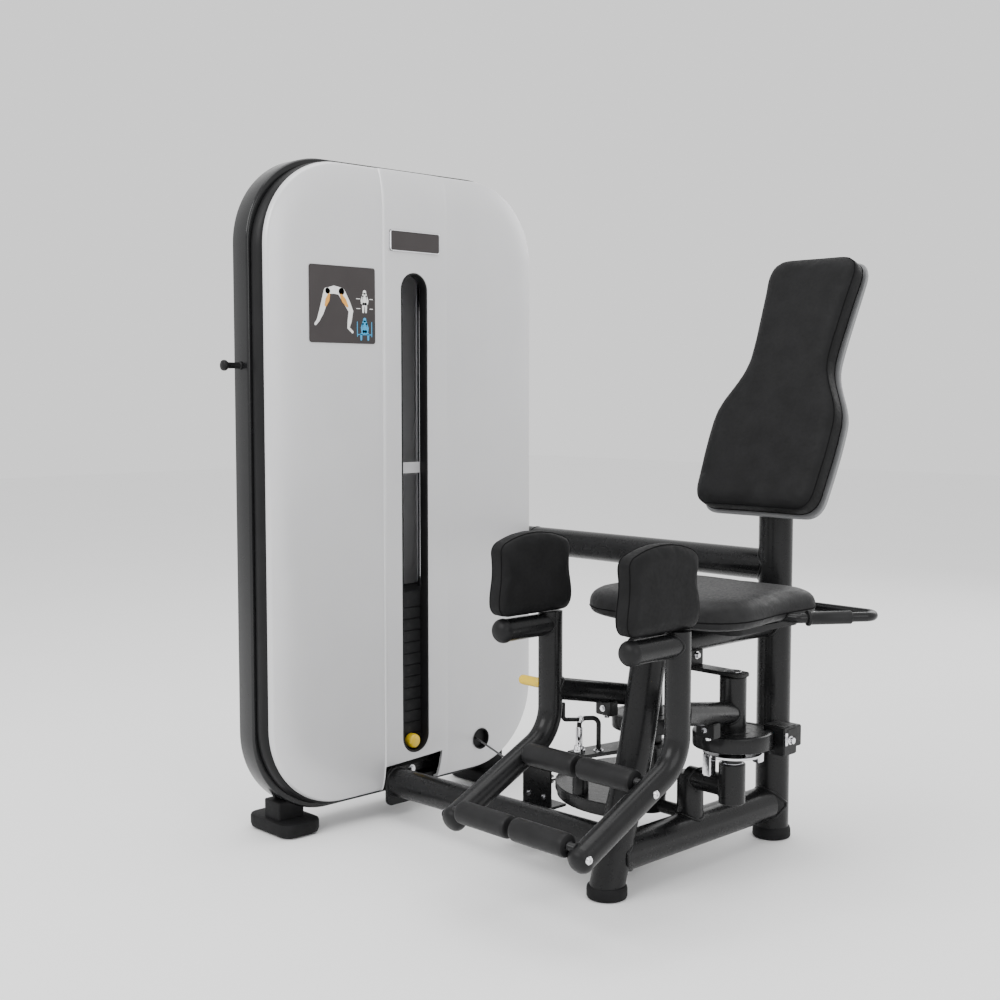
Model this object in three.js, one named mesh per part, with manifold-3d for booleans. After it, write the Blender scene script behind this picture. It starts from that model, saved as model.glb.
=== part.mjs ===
// Hip abductor machine: a selectorised weight tower on the user's right, and a seat whose two
// thigh arms swing outwards on upright pivots below it. Millimetres, +Z up.
// The origin is on the floor under the front leg. X = 0 is the seat's middle plane, the user faces
// -Y, and the tower stands on the -X side.
import * as THREE from 'three';
import { mergeVertices } from 'three/addons/utils/BufferGeometryUtils.js';
import Module from 'manifold-3d';

const wasm = await Module();
wasm.setup();

// ---------------------------------------------------------------- driving dimensions
const GAP = 0.3; // clearance between touching parts

const TOWER_X = -787.5; // middle plane of the tower hoop
const TOWER_Y = 100; // middle of the tower, front to back
const HOOP = { halfWidth: 420, bottom: 44, top: 1524, corner: 200, depth: 57, wall: 36 };
const COVER_CORNER = 215; // corner radius of the trim rings and covers, before their insets
// Trim rings and domed covers: inset from the hoop's outline, and depth or bulge along X.
const FRONT_TRIM = { inset: 8, depth: 31, wall: 24 };
const REAR_TRIM = { inset: 18, depth: 14, wall: 16 };
const FRONT_SHROUD = { inset: 19, topInset: 10, bulge: 27, wall: 5 };
const REAR_SHROUD = { inset: 26, topInset: 26, bulge: 18, wall: 5 };
const BAND = { from: 8, to: 203, height: 4 }; // raised middle band of the front shroud, along Y
const STACK_Y = 98.5; // middle of the weight stack, slot and selector
const SLOT = { width: 81, bottom: 144, top: 1279 };
const CABLE_HOLE = { y: 313, z: 139, radius: 25 };
const NOTCH = [[8, 0], [174, 0], [184, 133], [8, 124]]; // cut out round the low beam, as [y, z]
const PLACARD = { y: -108, z: 1197, width: 184, height: 171 };
const BADGE = { y: 100, z: 1350, width: 152, height: 50 };
const TOWER_FOOT = { x: -800, y: 310.5, width: 164, length: 106, plate: 34, corner: 32, undercut: 12 };
const FOOT_BLOCK = { x: -793.5, y: 316, width: 60, length: 68 };
const SLOT_GUIDE = { from: 54, to: 76, front: -720.3, thickness: 1.9, bar: [811, 837] };

const PLATE = { back: -836, front: -722.5, length: 250, pitch: 27.8, count: 12, bottom: 156, topPlate: 38.4 };
const ROD_SPACING = 188;
const ROD_RADIUS = 9.5;
const STEM = { radius: 11, bore: 4, top: 600 };
const PIN_HOLE_RADIUS = 5;

const BEAM_RADIUS = 38;
const POST_Y = 561;
const POST_RADIUS = 37.5;
const BASE_BEAM_Z = 80;
const LOW_BEAM = { y: 44, outerZ: 82, innerZ: 93.7, radius: 34, end: -700 };
const UPPER_BEAM = { z: 616, radius: 35 };
const LEG_RADIUS = 35.5;
const SHORT_POST = { y: 265, radius: 28, top: 201, tubeZ: 194, tubeRadius: 23 };
const SEAT_RAIL = { z: 488, radius: 27 };

const PIVOT = { x: 110, y: 262 };
const HUB_RADIUS = 27.5;
const SHAFT_RADIUS = 14.5;
const BEARING_PLATE = { bottom: 425.5, thickness: 8.5, length: 280, width: 40 };
const HANGER_HALF_WIDTH = 16;
const LATCH_BLOCK = [[148, 314, 264], [200, 360, 324]]; // on the rim of the left arm's disc
const LOCK_RING = { radius: 60, bottom: 263.3, top: 269 };
const DISC = { radius: 82, bottom: 281, top: 314 };
const ARM_X = 167; // distance of each arm's plane from the middle
const ARM_Y = 12;
const ARM_RADIUS = 25;
const LEVER_RADIUS = 23;
const PAD_TUBE = { z: 529, front: -133, radius: 23 };
const PAD = { inner: 143.5, outer: 188.5, front: -153.5, back: 62.5, bottom: 555.5, top: 728 };
const FOOT_GRIPS = [{ name: 'upper', y: -78, z: 278 }, { name: 'lower', y: -259, z: 197 }];
const FOOT_GRIP = { radius: 22.5, from: 5.5, to: 141.4, pin: 8 };

const CABLE_RADIUS = 2.5;
const CABLE_Z = 140; // height of the low cable run
const CAM = { radius: 200, plate: 204, bottom: 134.2, rimTop: 147, top: 163, from: 118, to: 290 };
const STUD = { x: -146, y: 82, radius: 17, height: 45 };

const SEAT = { frontHalf: 205, backHalf: 191, front: 98, back: 480, bottom: 537, top: 592.5 };
const BACK = { tilt: THREE.MathUtils.degToRad(23.7), y: 555, z: 1000, bottom: -270, top: 343, thickness: 52 };

// ---------------------------------------------------------------- finishes
const finish = (color, roughness, metalness) => ({ color, roughness, metalness });
const BLACK_PAINT = finish(0x101113, 0.28, 0.2);
const SATIN_SILVER = finish(0xbcbdbe, 0.42, 0.25);
const BLACK_PLASTIC = finish(0x141415, 0.5, 0);
const BLACK_RUBBER = finish(0x1b1b1c, 0.75, 0);
const BLACK_LEATHER = finish(0x1a1a1b, 0.55, 0);
const CHROME = finish(0xc9cbce, 0.15, 1);
const STEEL = finish(0x8b8d90, 0.35, 1);
const YELLOW = finish(0xe3bd12, 0.4, 0);
const CAST_IRON = finish(0x1d1e20, 0.55, 0.3);
const GREY_PLASTIC = finish(0x5e5858, 0.45, 0);

// ---------------------------------------------------------------- geometry tools
const machine = new THREE.Group();

// Turns a closed geometry into a manifold solid.
function solid(geometry) {
  const bare = new THREE.BufferGeometry();
  bare.setAttribute('position', geometry.getAttribute('position'));
  if (geometry.index) bare.setIndex(geometry.index);
  const merged = mergeVertices(bare, 1e-4);
  return new wasm.Manifold(new wasm.Mesh({
    numProp: 3,
    vertProperties: new Float32Array(merged.attributes.position.array),
    triVerts: new Uint32Array(merged.index.array),
  }));
}

function geometryOf(manifold) {
  const mesh = manifold.getMesh();
  const geometry = new THREE.BufferGeometry();
  geometry.setAttribute('position', new THREE.BufferAttribute(mesh.vertProperties, 3));
  geometry.setIndex(new THREE.BufferAttribute(mesh.triVerts, 1));
  return geometry;
}

// Adds one named piece; shape is a geometry or a manifold solid.
function addPart(name, shape, material) {
  const geometry = shape.isBufferGeometry ? shape : geometryOf(shape);
  const mesh = new THREE.Mesh(geometry, new THREE.MeshStandardMaterial(material));
  mesh.name = name;
  machine.add(mesh);
  return mesh;
}

function box(from, to) {
  const size = to.map((value, axis) => value - from[axis]);
  const centre = to.map((value, axis) => (value + from[axis]) / 2);
  return solid(new THREE.BoxGeometry(...size).translate(...centre));
}

// The turn that takes +Y to a direction.
function turnFromY(direction) {
  return new THREE.Quaternion().setFromUnitVectors(new THREE.Vector3(0, 1, 0), direction.clone().normalize());
}

// A closed tube or rod between two points.
function rod(from, to, radius, sides = 20) {
  const start = new THREE.Vector3(...from);
  const axis = new THREE.Vector3(...to).sub(start);
  const geometry = new THREE.CylinderGeometry(radius, radius, axis.length(), sides);
  geometry.translate(0, axis.length() / 2, 0);
  geometry.applyQuaternion(turnFromY(axis));
  return solid(geometry.translate(...from));
}

const disc = (x, y, bottom, top, radius, sides = 32) => rod([x, y, bottom], [x, y, top], radius, sides);

// A turned piece: the profile is a list of [radius, height] and starts and ends on the axis.
function turned(profile, from, direction, sides = 20) {
  const geometry = new THREE.LatheGeometry(profile.map(([r, h]) => new THREE.Vector2(r, h)), sides);
  const axis = new THREE.Vector3(...direction);
  geometry.applyQuaternion(turnFromY(axis));
  return solid(geometry.translate(...from));
}

// A path through chosen points that keeps its points where they are and mitres at each one.
class Route extends THREE.Curve {
  constructor(points) {
    super();
    this.points = points;
    this.legs = points.slice(1).map((point, i) => point.clone().sub(points[i]).normalize());
  }

  getPoint(t) {
    const last = this.points.length - 1;
    const i = Math.min(Math.floor(t * last + 1e-9), last - 1);
    return this.points[i].clone().lerp(this.points[i + 1], t * last - i);
  }

  getTangent(t) {
    const last = this.points.length - 1;
    const i = Math.round(t * last);
    const before = this.legs[Math.max(i - 1, 0)];
    const after = this.legs[Math.min(i, last - 1)];
    return before.clone().add(after).normalize();
  }

  getPointAt(u) {
    return this.getPoint(u);
  }

  getTangentAt(u) {
    return this.getTangent(u);
  }
}

// Rounds the corners of a polyline: each point is [x, y, z, bendRadius].
function roundedPath(corners, stepsPerBend = 5) {
  const at = corners.map(([x, y, z]) => new THREE.Vector3(x, y, z));
  const path = [at[0]];
  for (let i = 1; i < at.length - 1; i += 1) {
    const radius = corners[i][3] ?? 0;
    const back = at[i - 1].clone().sub(at[i]).normalize();
    const ahead = at[i + 1].clone().sub(at[i]).normalize();
    const halfTurn = (Math.PI - back.angleTo(ahead)) / 2;
    if (radius === 0 || halfTurn < 1e-3) {
      path.push(at[i]);
      continue;
    }
    const middle = back.clone().add(ahead).normalize();
    const centre = at[i].clone().addScaledVector(middle, radius / Math.cos(halfTurn));
    const start = at[i].clone().addScaledVector(back, radius * Math.tan(halfTurn)).sub(centre);
    const axis = start.clone().cross(middle.clone().negate()).normalize();
    for (let k = 0; k <= stepsPerBend; k += 1) {
      const turn = (2 * halfTurn * k) / stepsPerBend;
      path.push(start.clone().applyAxisAngle(axis, turn).add(centre));
    }
  }
  path.push(at[at.length - 1]);
  return path;
}

// A round bar swept along a list of points.
function sweptBar(points, radius, sides = 16) {
  const section = new THREE.Shape();
  section.absarc(0, 0, radius, 0, 2 * Math.PI);
  return new THREE.ExtrudeGeometry(section, {
    extrudePath: new Route(points),
    steps: points.length - 1,
    curveSegments: sides / 2,
  });
}

// Rounded-rectangle outline as points, anticlockwise; all outlines have the same count.
function roundedOutline(left, right, bottom, top, radius, segments = 8) {
  const corners = [
    [right - radius, bottom + radius, -90],
    [right - radius, top - radius, 0],
    [left + radius, top - radius, 90],
    [left + radius, bottom + radius, 180],
  ];
  return corners.flatMap(([x, y, startAngle]) => Array.from({ length: segments + 1 }, (_, k) => {
    const angle = THREE.MathUtils.degToRad(startAngle + (90 * k) / segments);
    return new THREE.Vector2(x + radius * Math.cos(angle), y + radius * Math.sin(angle));
  }));
}

// Plate axes: the outline's x and y and the extrusion's direction, in world axes.
const ACROSS_X = new THREE.Matrix4().makeBasis(
  new THREE.Vector3(0, 1, 0),
  new THREE.Vector3(0, 0, 1),
  new THREE.Vector3(1, 0, 0),
);
const UPWARDS = new THREE.Matrix4();

// A flat plate or prism: outline points, extruded from start over depth.
function prism(outline, start, depth, axes = UPWARDS, holes = []) {
  const shape = new THREE.Shape(outline);
  shape.holes = holes.map((points) => new THREE.Path(points));
  const geometry = new THREE.ExtrudeGeometry(shape, { depth, bevelEnabled: false });
  return solid(geometry.translate(0, 0, start).applyMatrix4(axes));
}

// A solid through a pile of outlines with the same point count; rings are [outline, height].
function lofted(rings, axes = UPWARDS) {
  const count = rings[0][0].length;
  const lift = ([outline, height]) => outline.flatMap((point) => [point.x, point.y, height]);
  const positions = rings.flatMap(lift);
  const index = [];
  for (let ring = 0; ring < rings.length - 1; ring += 1) {
    for (let i = 0; i < count; i += 1) {
      const a = ring * count + i;
      const b = ring * count + ((i + 1) % count);
      index.push(a, b, b + count, a, b + count, a + count);
    }
  }
  const lastRing = (rings.length - 1) * count;
  for (const [a, b, c] of THREE.ShapeUtils.triangulateShape(rings[0][0], [])) index.push(a, c, b);
  for (const [a, b, c] of THREE.ShapeUtils.triangulateShape(rings[rings.length - 1][0], [])) {
    index.push(lastRing + a, lastRing + b, lastRing + c);
  }
  const geometry = new THREE.BufferGeometry();
  geometry.setAttribute('position', new THREE.Float32BufferAttribute(positions, 3));
  geometry.setIndex(index);
  return solid(geometry.applyMatrix4(axes));
}

const arc = (x, y, radius, from, to, steps) => Array.from({ length: steps + 1 }, (_, k) => {
  const angle = THREE.MathUtils.degToRad(from + ((to - from) * k) / steps);
  return new THREE.Vector2(x + radius * Math.cos(angle), y + radius * Math.sin(angle));
});

// ---------------------------------------------------------------- tower
// Outline of the tower in the Y-Z plane, drawn in by an inset.
function towerOutline(inset, topInset = inset, corner = COVER_CORNER) {
  return roundedOutline(
    TOWER_Y - HOOP.halfWidth + inset,
    TOWER_Y + HOOP.halfWidth - inset,
    HOOP.bottom + inset,
    HOOP.top - topInset,
    corner - inset,
  );
}

const hoopBack = TOWER_X - HOOP.depth / 2;
const hoopFront = TOWER_X + HOOP.depth / 2;
function towerRing(inset, wall, start, depth, corner = COVER_CORNER) {
  const hole = towerOutline(inset + wall, inset + wall, corner);
  return prism(towerOutline(inset, inset, corner), start, depth, ACROSS_X, [hole]);
}

addPart('tower_hoop', towerRing(0, HOOP.wall, hoopBack, HOOP.depth, HOOP.corner), BLACK_PAINT);
const frontTrim = towerRing(FRONT_TRIM.inset, FRONT_TRIM.wall, hoopFront + GAP, FRONT_TRIM.depth);
addPart('trim_ring_front', frontTrim, BLACK_PLASTIC);
const rearTrimStart = hoopBack - GAP - REAR_TRIM.depth;
const rearTrim = towerRing(REAR_TRIM.inset, REAR_TRIM.wall, rearTrimStart, REAR_TRIM.depth);
addPart('trim_ring_rear', rearTrim, BLACK_PLASTIC);

const shroudRim = hoopFront + FRONT_TRIM.depth + 2 * GAP; // X of the front shroud's rim
const shroudFace = shroudRim + FRONT_SHROUD.bulge;
const domeSteps = [[0, 0], [3, 0.42], [14, 0.72], [42, 0.93], [95, 1]]; // inset, share of the bulge

// A domed cover over the tower's outline, on the front or the rear side.
function shroudShell(cover, rimX, side) {
  const dome = (wall) => {
    const rings = domeSteps.map(([inset, share]) => [
      towerOutline(cover.inset + inset + wall, cover.topInset + inset + wall),
      rimX + side * (share * cover.bulge - wall),
    ]);
    if (side < 0) rings.reverse();
    return lofted(rings, ACROSS_X);
  };
  return dome(0).subtract(dome(cover.wall));
}

const slotOutline = (grow) => roundedOutline(
  STACK_Y - SLOT.width / 2 - grow,
  STACK_Y + SLOT.width / 2 + grow,
  SLOT.bottom - grow,
  SLOT.top + grow,
  SLOT.width / 2 + grow - 0.5,
  5,
);
const bandPlate = prism(
  roundedOutline(BAND.from, BAND.to, HOOP.bottom + 120, HOOP.top - 110, 8, 2),
  shroudFace - 2,
  BAND.height + 2,
  ACROSS_X,
);
const frontShroud = shroudShell(FRONT_SHROUD, shroudRim, 1)
  .add(bandPlate)
  .subtract(prism(slotOutline(0), shroudRim - 30, 90, ACROSS_X))
  .subtract(rod(
    [shroudRim - 30, CABLE_HOLE.y, CABLE_HOLE.z],
    [shroudFace + 30, CABLE_HOLE.y, CABLE_HOLE.z],
    CABLE_HOLE.radius,
  ))
  .subtract(prism(NOTCH.map(([y, z]) => new THREE.Vector2(y, z)), shroudRim - 30, 90, ACROSS_X));
addPart('front_shroud', frontShroud, SATIN_SILVER);
addPart('rear_shroud', shroudShell(REAR_SHROUD, rearTrimStart - GAP, -1), SATIN_SILVER);

const linerBack = SLOT_GUIDE.front + GAP;
const linerDepth = shroudFace + 1 - linerBack;
const slotLiner = prism(slotOutline(-GAP), linerBack, linerDepth, ACROSS_X, [slotOutline(-5)]);
addPart('slot_liner', slotLiner, BLACK_PLASTIC);

// Guide behind the slot: a thin flat strip down its front side with one cross bar, fixed to the
// back of the liner. It lies wholly behind the room that the selector pin's knob needs.
const guideBack = SLOT_GUIDE.front - SLOT_GUIDE.thickness;
const slotGuide = box(
  [guideBack, SLOT_GUIDE.from, SLOT.bottom + 26],
  [SLOT_GUIDE.front, SLOT_GUIDE.to, SLOT.top - 24],
)
  .add(box(
    [guideBack, SLOT_GUIDE.to - 1, SLOT_GUIDE.bar[0]],
    [SLOT_GUIDE.front, STACK_Y + 44, SLOT_GUIDE.bar[1]],
  ));
addPart('slot_guide', slotGuide, GREY_PLASTIC);

const facePlate = (plate, x, thickness) => prism(
  roundedOutline(
    plate.y - plate.width / 2,
    plate.y + plate.width / 2,
    plate.z - plate.height / 2,
    plate.z + plate.height / 2,
    6,
    3,
  ),
  x + GAP,
  thickness,
  ACROSS_X,
);
addPart('exercise_placard', facePlate(PLACARD, shroudFace, 2), GREY_PLASTIC);
addPart('badge_plate', facePlate(BADGE, shroudFace + BAND.height, 3), GREY_PLASTIC);

const hoopFrontY = TOWER_Y - HOOP.halfWidth;
const hoopRearY = TOWER_Y + HOOP.halfWidth;
const pegProfile = [[0, 0], [7, 0], [7, 34], [12, 38], [12, 45], [9, 48], [0, 48]];
addPart('towel_peg', turned(pegProfile, [TOWER_X, hoopFrontY - GAP, 1060], [0, -1, 0], 12), BLACK_PLASTIC);

const hoopKeepOut = prism(towerOutline(-GAP, -GAP, HOOP.corner), hoopBack - 20, HOOP.depth + 40, ACROSS_X);
for (const [name, side] of [['front', -1], ['rear', 1]]) {
  const y = TOWER_Y + side * TOWER_FOOT.y;
  const padOutlineAt = (inset) => roundedOutline(
    TOWER_FOOT.x - TOWER_FOOT.width / 2 + inset,
    TOWER_FOOT.x + TOWER_FOOT.width / 2 - inset,
    y - TOWER_FOOT.length / 2 + inset,
    y + TOWER_FOOT.length / 2 - inset,
    TOWER_FOOT.corner - inset,
    5,
  );
  const plate = lofted([
    [padOutlineAt(TOWER_FOOT.undercut), 0],
    [padOutlineAt(0), TOWER_FOOT.undercut],
    [padOutlineAt(0), TOWER_FOOT.plate],
  ]);
  const blockY = TOWER_Y + side * FOOT_BLOCK.y;
  const block = box(
    [FOOT_BLOCK.x - FOOT_BLOCK.width / 2, blockY - FOOT_BLOCK.length / 2, TOWER_FOOT.plate - 1],
    [FOOT_BLOCK.x + FOOT_BLOCK.width / 2, blockY + FOOT_BLOCK.length / 2, HOOP.bottom + 90],
  );
  addPart(`tower_foot_${name}`, plate.add(block.subtract(hoopKeepOut)), BLACK_RUBBER);
}

const towerFloor = HOOP.bottom + HOOP.wall + GAP;
const rodY = [STACK_Y - ROD_SPACING / 2, STACK_Y + ROD_SPACING / 2];

// ---------------------------------------------------------------- cable and pulleys
// Cable run: up from the stack, over two top pulleys, down the rear, round the low pulley, out of
// the tower, round the guide pulley and onto the cam.
const TOP_WHEEL = { radius: 55, z: 1415 };
const ROD_TOP = 1330;
const LOW_WHEEL_RADIUS = 36;
const GUIDE_WHEEL_RADIUS = 18.8;
const DOWN_RUN_Y = 338;
const cableCamRadius = CAM.radius + CABLE_RADIUS + GAP;
const guide = new THREE.Vector3(-PIVOT.x - cableCamRadius - GUIDE_WHEEL_RADIUS, 165, CABLE_Z);
const downRun = new THREE.Vector3(TOWER_X, DOWN_RUN_Y, 0);

// Heading of the straight run from the low pulley's foot to the guide pulley's front side.
const toGuide = new THREE.Vector3(guide.x - downRun.x, guide.y - downRun.y, 0);
const outHeading = Math.atan2(toGuide.y, toGuide.x) - Math.asin(GUIDE_WHEEL_RADIUS / toGuide.length());
const outDirection = new THREE.Vector3(Math.cos(outHeading), Math.sin(outHeading), 0);
const lowWheel = downRun.clone()
  .addScaledVector(outDirection, LOW_WHEEL_RADIUS)
  .setZ(CABLE_Z + LOW_WHEEL_RADIUS);

const topWheels = [
  new THREE.Vector3(TOWER_X, STACK_Y + TOP_WHEEL.radius, TOP_WHEEL.z),
  new THREE.Vector3(TOWER_X, DOWN_RUN_Y - TOP_WHEEL.radius, TOP_WHEEL.z),
];

function cableRoute() {
  const points = [new THREE.Vector3(TOWER_X, STACK_Y, STEM.top - 20)];
  const turnSteps = 8;
  const around = (centre, radius, first, second, from, to) => {
    for (let k = 0; k <= turnSteps; k += 1) {
      const angle = THREE.MathUtils.degToRad(from + ((to - from) * k) / turnSteps);
      const point = centre.clone().addScaledVector(first, radius * Math.cos(angle));
      points.push(point.addScaledVector(second, radius * Math.sin(angle)));
    }
  };
  const up = new THREE.Vector3(0, 0, 1);
  const rearward = new THREE.Vector3(0, 1, 0);
  const outward = new THREE.Vector3(1, 0, 0);
  around(topWheels[0], TOP_WHEEL.radius, rearward, up, 180, 90);
  around(topWheels[1], TOP_WHEEL.radius, rearward, up, 90, 0);
  around(lowWheel, LOW_WHEEL_RADIUS, outDirection, up, 180, 270);
  const headingDegrees = THREE.MathUtils.radToDeg(outHeading);
  around(guide, GUIDE_WHEEL_RADIUS, outward, rearward, headingDegrees - 90, 0);
  const pivot = new THREE.Vector3(-PIVOT.x, PIVOT.y, CABLE_Z);
  around(pivot, cableCamRadius, outward, rearward, 180, 126);
  return points;
}
addPart('lift_cable', sweptBar(cableRoute(), CABLE_RADIUS, 8), STEEL);

// A grooved wheel whose cable line has the given radius, on its own bore.
function grooved(centre, axis, cableLine, width, bore) {
  const groove = cableLine - CABLE_RADIUS - 2 * GAP;
  const outer = groove + 5;
  const half = width / 2;
  const rim = [[outer, -half], [groove, -3.2], [groove, 3.2], [outer, half]];
  const profile = [[bore, -half], ...rim, [bore, half], [bore, -half]];
  return turned(profile, centre.toArray(), axis, 20);
}
const wheelAxisLow = [Math.sin(outHeading), -Math.cos(outHeading), 0];
addPart('top_pulley_front', grooved(topWheels[0], [1, 0, 0], TOP_WHEEL.radius, 16, 8.3), GREY_PLASTIC);
addPart('top_pulley_rear', grooved(topWheels[1], [1, 0, 0], TOP_WHEEL.radius, 16, 8.3), GREY_PLASTIC);
addPart('low_pulley', grooved(lowWheel, wheelAxisLow, LOW_WHEEL_RADIUS, 14, 8.3), GREY_PLASTIC);
addPart('guide_pulley', grooved(guide, [0, 0, 1], GUIDE_WHEEL_RADIUS, 14, 5.3), GREY_PLASTIC);

// Top bracket: hangs from the hoop's crown, with an axle for each top pulley and a clamp for each
// guide rod.
const crown = HOOP.top - HOOP.wall - GAP;
const bracketX = TOWER_X - 22;
const bracketY = [rodY[0] - 22, DOWN_RUN_Y - 38];
let topBracket = box([bracketX - 6, bracketY[0], ROD_TOP - 14], [bracketX, bracketY[1], crown])
  .add(box([bracketX - 6, bracketY[0], crown - 8], [TOWER_X + 24, bracketY[1], crown]));
for (const wheel of topWheels) {
  topBracket = topBracket.add(rod([bracketX - 3, wheel.y, wheel.z], [TOWER_X + 12, wheel.y, wheel.z], 8, 16));
}
for (const y of rodY) {
  topBracket = topBracket
    .add(box([bracketX - 3, y - 15, ROD_TOP - 14], [TOWER_X + 15, y + 15, ROD_TOP + 4]))
    .subtract(disc(TOWER_X, y, ROD_TOP - 20, ROD_TOP + GAP, ROD_RADIUS + GAP, 16));
}
addPart('top_bracket', topBracket, BLACK_PAINT);

// Floor beam: carries the rods and the stack's rubber, and an upright lug holds the low pulley's axle.
const lugCentre = lowWheel.clone();
const axleHalf = new THREE.Vector3(...wheelAxisLow).multiplyScalar(20);
let floorBeam = box(
  [TOWER_X - 40, rodY[0] - 45, towerFloor],
  [TOWER_X + 40, DOWN_RUN_Y - 34, towerFloor + 22],
);
const lugBase = lugCentre.clone().add(axleHalf);
floorBeam = floorBeam.add(box(
  [lugBase.x - 16, lugBase.y - 4, towerFloor + 2],
  [lugBase.x + 16, lugBase.y + 4, lowWheel.z + 14],
));
const axleTip = lugCentre.clone().addScaledVector(axleHalf, -0.45);
floorBeam = floorBeam.add(rod(lugBase.toArray(), axleTip.toArray(), 8, 16));
for (const y of rodY) {
  floorBeam = floorBeam.subtract(disc(TOWER_X, y, towerFloor + 6, towerFloor + 40, ROD_RADIUS + GAP, 16));
}
addPart('tower_floor_beam', floorBeam, BLACK_PAINT);

rodY.forEach((y, i) => {
  const name = ['guide_rod_front', 'guide_rod_rear'][i];
  addPart(name, disc(TOWER_X, y, towerFloor + 6 + GAP, ROD_TOP, ROD_RADIUS, 16), CHROME);
});

const stackBumper = box(
  [TOWER_X - 45, rodY[0] + 16, towerFloor + 22 + GAP],
  [TOWER_X + 45, rodY[1] - 16, PLATE.bottom - GAP],
).subtract(disc(TOWER_X, STACK_Y, towerFloor, PLATE.bottom + 1, STEM.radius + 4, 16));
addPart('stack_bumper', stackBumper, BLACK_RUBBER);

// Weight plates: one block of plates parted by saw-cut grooves, bored for the rods and the stem.
const plateX = [PLATE.back, PLATE.front];
const plateY = [STACK_Y - PLATE.length / 2, STACK_Y + PLATE.length / 2];
const stackTop = PLATE.bottom + PLATE.count * PLATE.pitch + PLATE.topPlate;
function stackBores(bottom, top) {
  return rodY.map((y) => disc(TOWER_X, y, bottom, top, ROD_RADIUS + 2, 12))
    .reduce((sum, hole) => sum.add(hole));
}
let plates = box([plateX[0], plateY[0], PLATE.bottom], [plateX[1], plateY[1], stackTop]);
for (let i = 1; i <= PLATE.count; i += 1) {
  const z = PLATE.bottom + i * PLATE.pitch;
  const groove = box([plateX[0] - 1, plateY[0] - 1, z - 1.2], [plateX[1] + 1, plateY[1] + 1, z + 1.2]);
  const core = box([plateX[0] + 5, plateY[0] + 5, z - 2], [plateX[1] - 5, plateY[1] - 5, z + 2]);
  plates = plates.subtract(groove.subtract(core));
}
plates = plates.subtract(stackBores(PLATE.bottom - 1, stackTop + 1));
plates = plates.subtract(disc(TOWER_X, STACK_Y, PLATE.bottom - 1, stackTop + 1, STEM.radius + 2, 16));
for (let i = 0; i <= PLATE.count; i += 1) {
  const z = PLATE.bottom + (i + 0.5) * PLATE.pitch;
  plates = plates.subtract(rod([TOWER_X, STACK_Y, z], [plateX[1] + 1, STACK_Y, z], PIN_HOLE_RADIUS + 0.5, 8));
}
addPart('weight_stack', plates, CAST_IRON);

// Selector stem: a hollow rod that hangs in the plates; the cable's end sits in its bore.
const selectorZ = PLATE.bottom + 0.5 * PLATE.pitch;
let stem = disc(TOWER_X, STACK_Y, PLATE.bottom + 3, STEM.top, STEM.radius, 16)
  .add(disc(TOWER_X, STACK_Y, stackTop + GAP, stackTop + 14, STEM.radius + 9, 16))
  .subtract(disc(TOWER_X, STACK_Y, PLATE.bottom + 30, STEM.top + 1, STEM.bore, 12));
stem = stem.subtract(rod(
  [TOWER_X - 15, STACK_Y, selectorZ],
  [TOWER_X + 15, STACK_Y, selectorZ],
  PIN_HOLE_RADIUS,
  12,
));
addPart('selector_stem', stem, STEEL);

const selectorX = plateX[1] + 1;
const knobProfile = [[0, -78], [4.5, -78], [4.5, 0], [14, 0], [17, 4], [17, 20], [13, 25], [0, 25]];
addPart('selector_pin', turned(knobProfile, [selectorX, STACK_Y, selectorZ], [1, 0, 0], 16), YELLOW);

// ---------------------------------------------------------------- frame
addPart('base_beam', rod([0, 39, BASE_BEAM_Z], [0, POST_Y, BASE_BEAM_Z], BEAM_RADIUS, 24)
  .subtract(disc(0, POST_Y, 0, 300, POST_RADIUS + GAP, 28))
  .subtract(disc(0, SHORT_POST.y, BASE_BEAM_Z, 300, SHORT_POST.radius + GAP, 24))
  .subtract(solid(sweptBar(legPath(), LEG_RADIUS + GAP, 20))), BLACK_PAINT);

// Axis of the front leg: it leans back as it rises from its foot to the seat rail.
function legPath() {
  const corners = [[0, 0, 12], [0, 43, 148], [0, 84, 272], [0, 121, 443], [0, 127, 480]];
  return corners.map(([x, y, z]) => new THREE.Vector3(x, y, z));
}
const railShape = rod([0, 84, SEAT_RAIL.z], [0, POST_Y, SEAT_RAIL.z], SEAT_RAIL.radius, 20);
const leg = solid(sweptBar(legPath(), LEG_RADIUS, 20))
  .subtract(rod([0, 60, SEAT_RAIL.z], [0, POST_Y, SEAT_RAIL.z], SEAT_RAIL.radius + GAP, 20))
  .subtract(box([-80, -80, SEAT_RAIL.z - 6], [80, 300, 700]))
  .subtract(box([-80, -80, 0], [80, 80, 26]));
addPart('front_leg', leg, BLACK_PAINT);
addPart('seat_rail', railShape.subtract(disc(0, POST_Y, 300, 700, POST_RADIUS + GAP, 28)), BLACK_PAINT);

const frontFootProfile = [[0, 0], [38, 0], [41, 4], [41, 22], [38, 26 - GAP], [0, 26 - GAP]];
addPart('front_foot', turned(frontFootProfile, [0, 3, 0], [0, 0, 1], 24), BLACK_RUBBER);
const rearFootProfile = [[0, 0], [41, 0], [43, 4], [40, 26 - GAP], [0, 26 - GAP]];
addPart('rear_foot', turned(rearFootProfile, [0, POST_Y, 0], [0, 0, 1], 24), BLACK_RUBBER);

// Everything fixed to the leaning back: x across, y up the slope, z from the front face backwards.
const backFrame = new THREE.Matrix4().makeBasis(
  new THREE.Vector3(-1, 0, 0),
  new THREE.Vector3(0, Math.sin(BACK.tilt), Math.cos(BACK.tilt)),
  new THREE.Vector3(0, Math.cos(BACK.tilt), -Math.sin(BACK.tilt)),
).setPosition(0, BACK.y, BACK.z);

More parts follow.
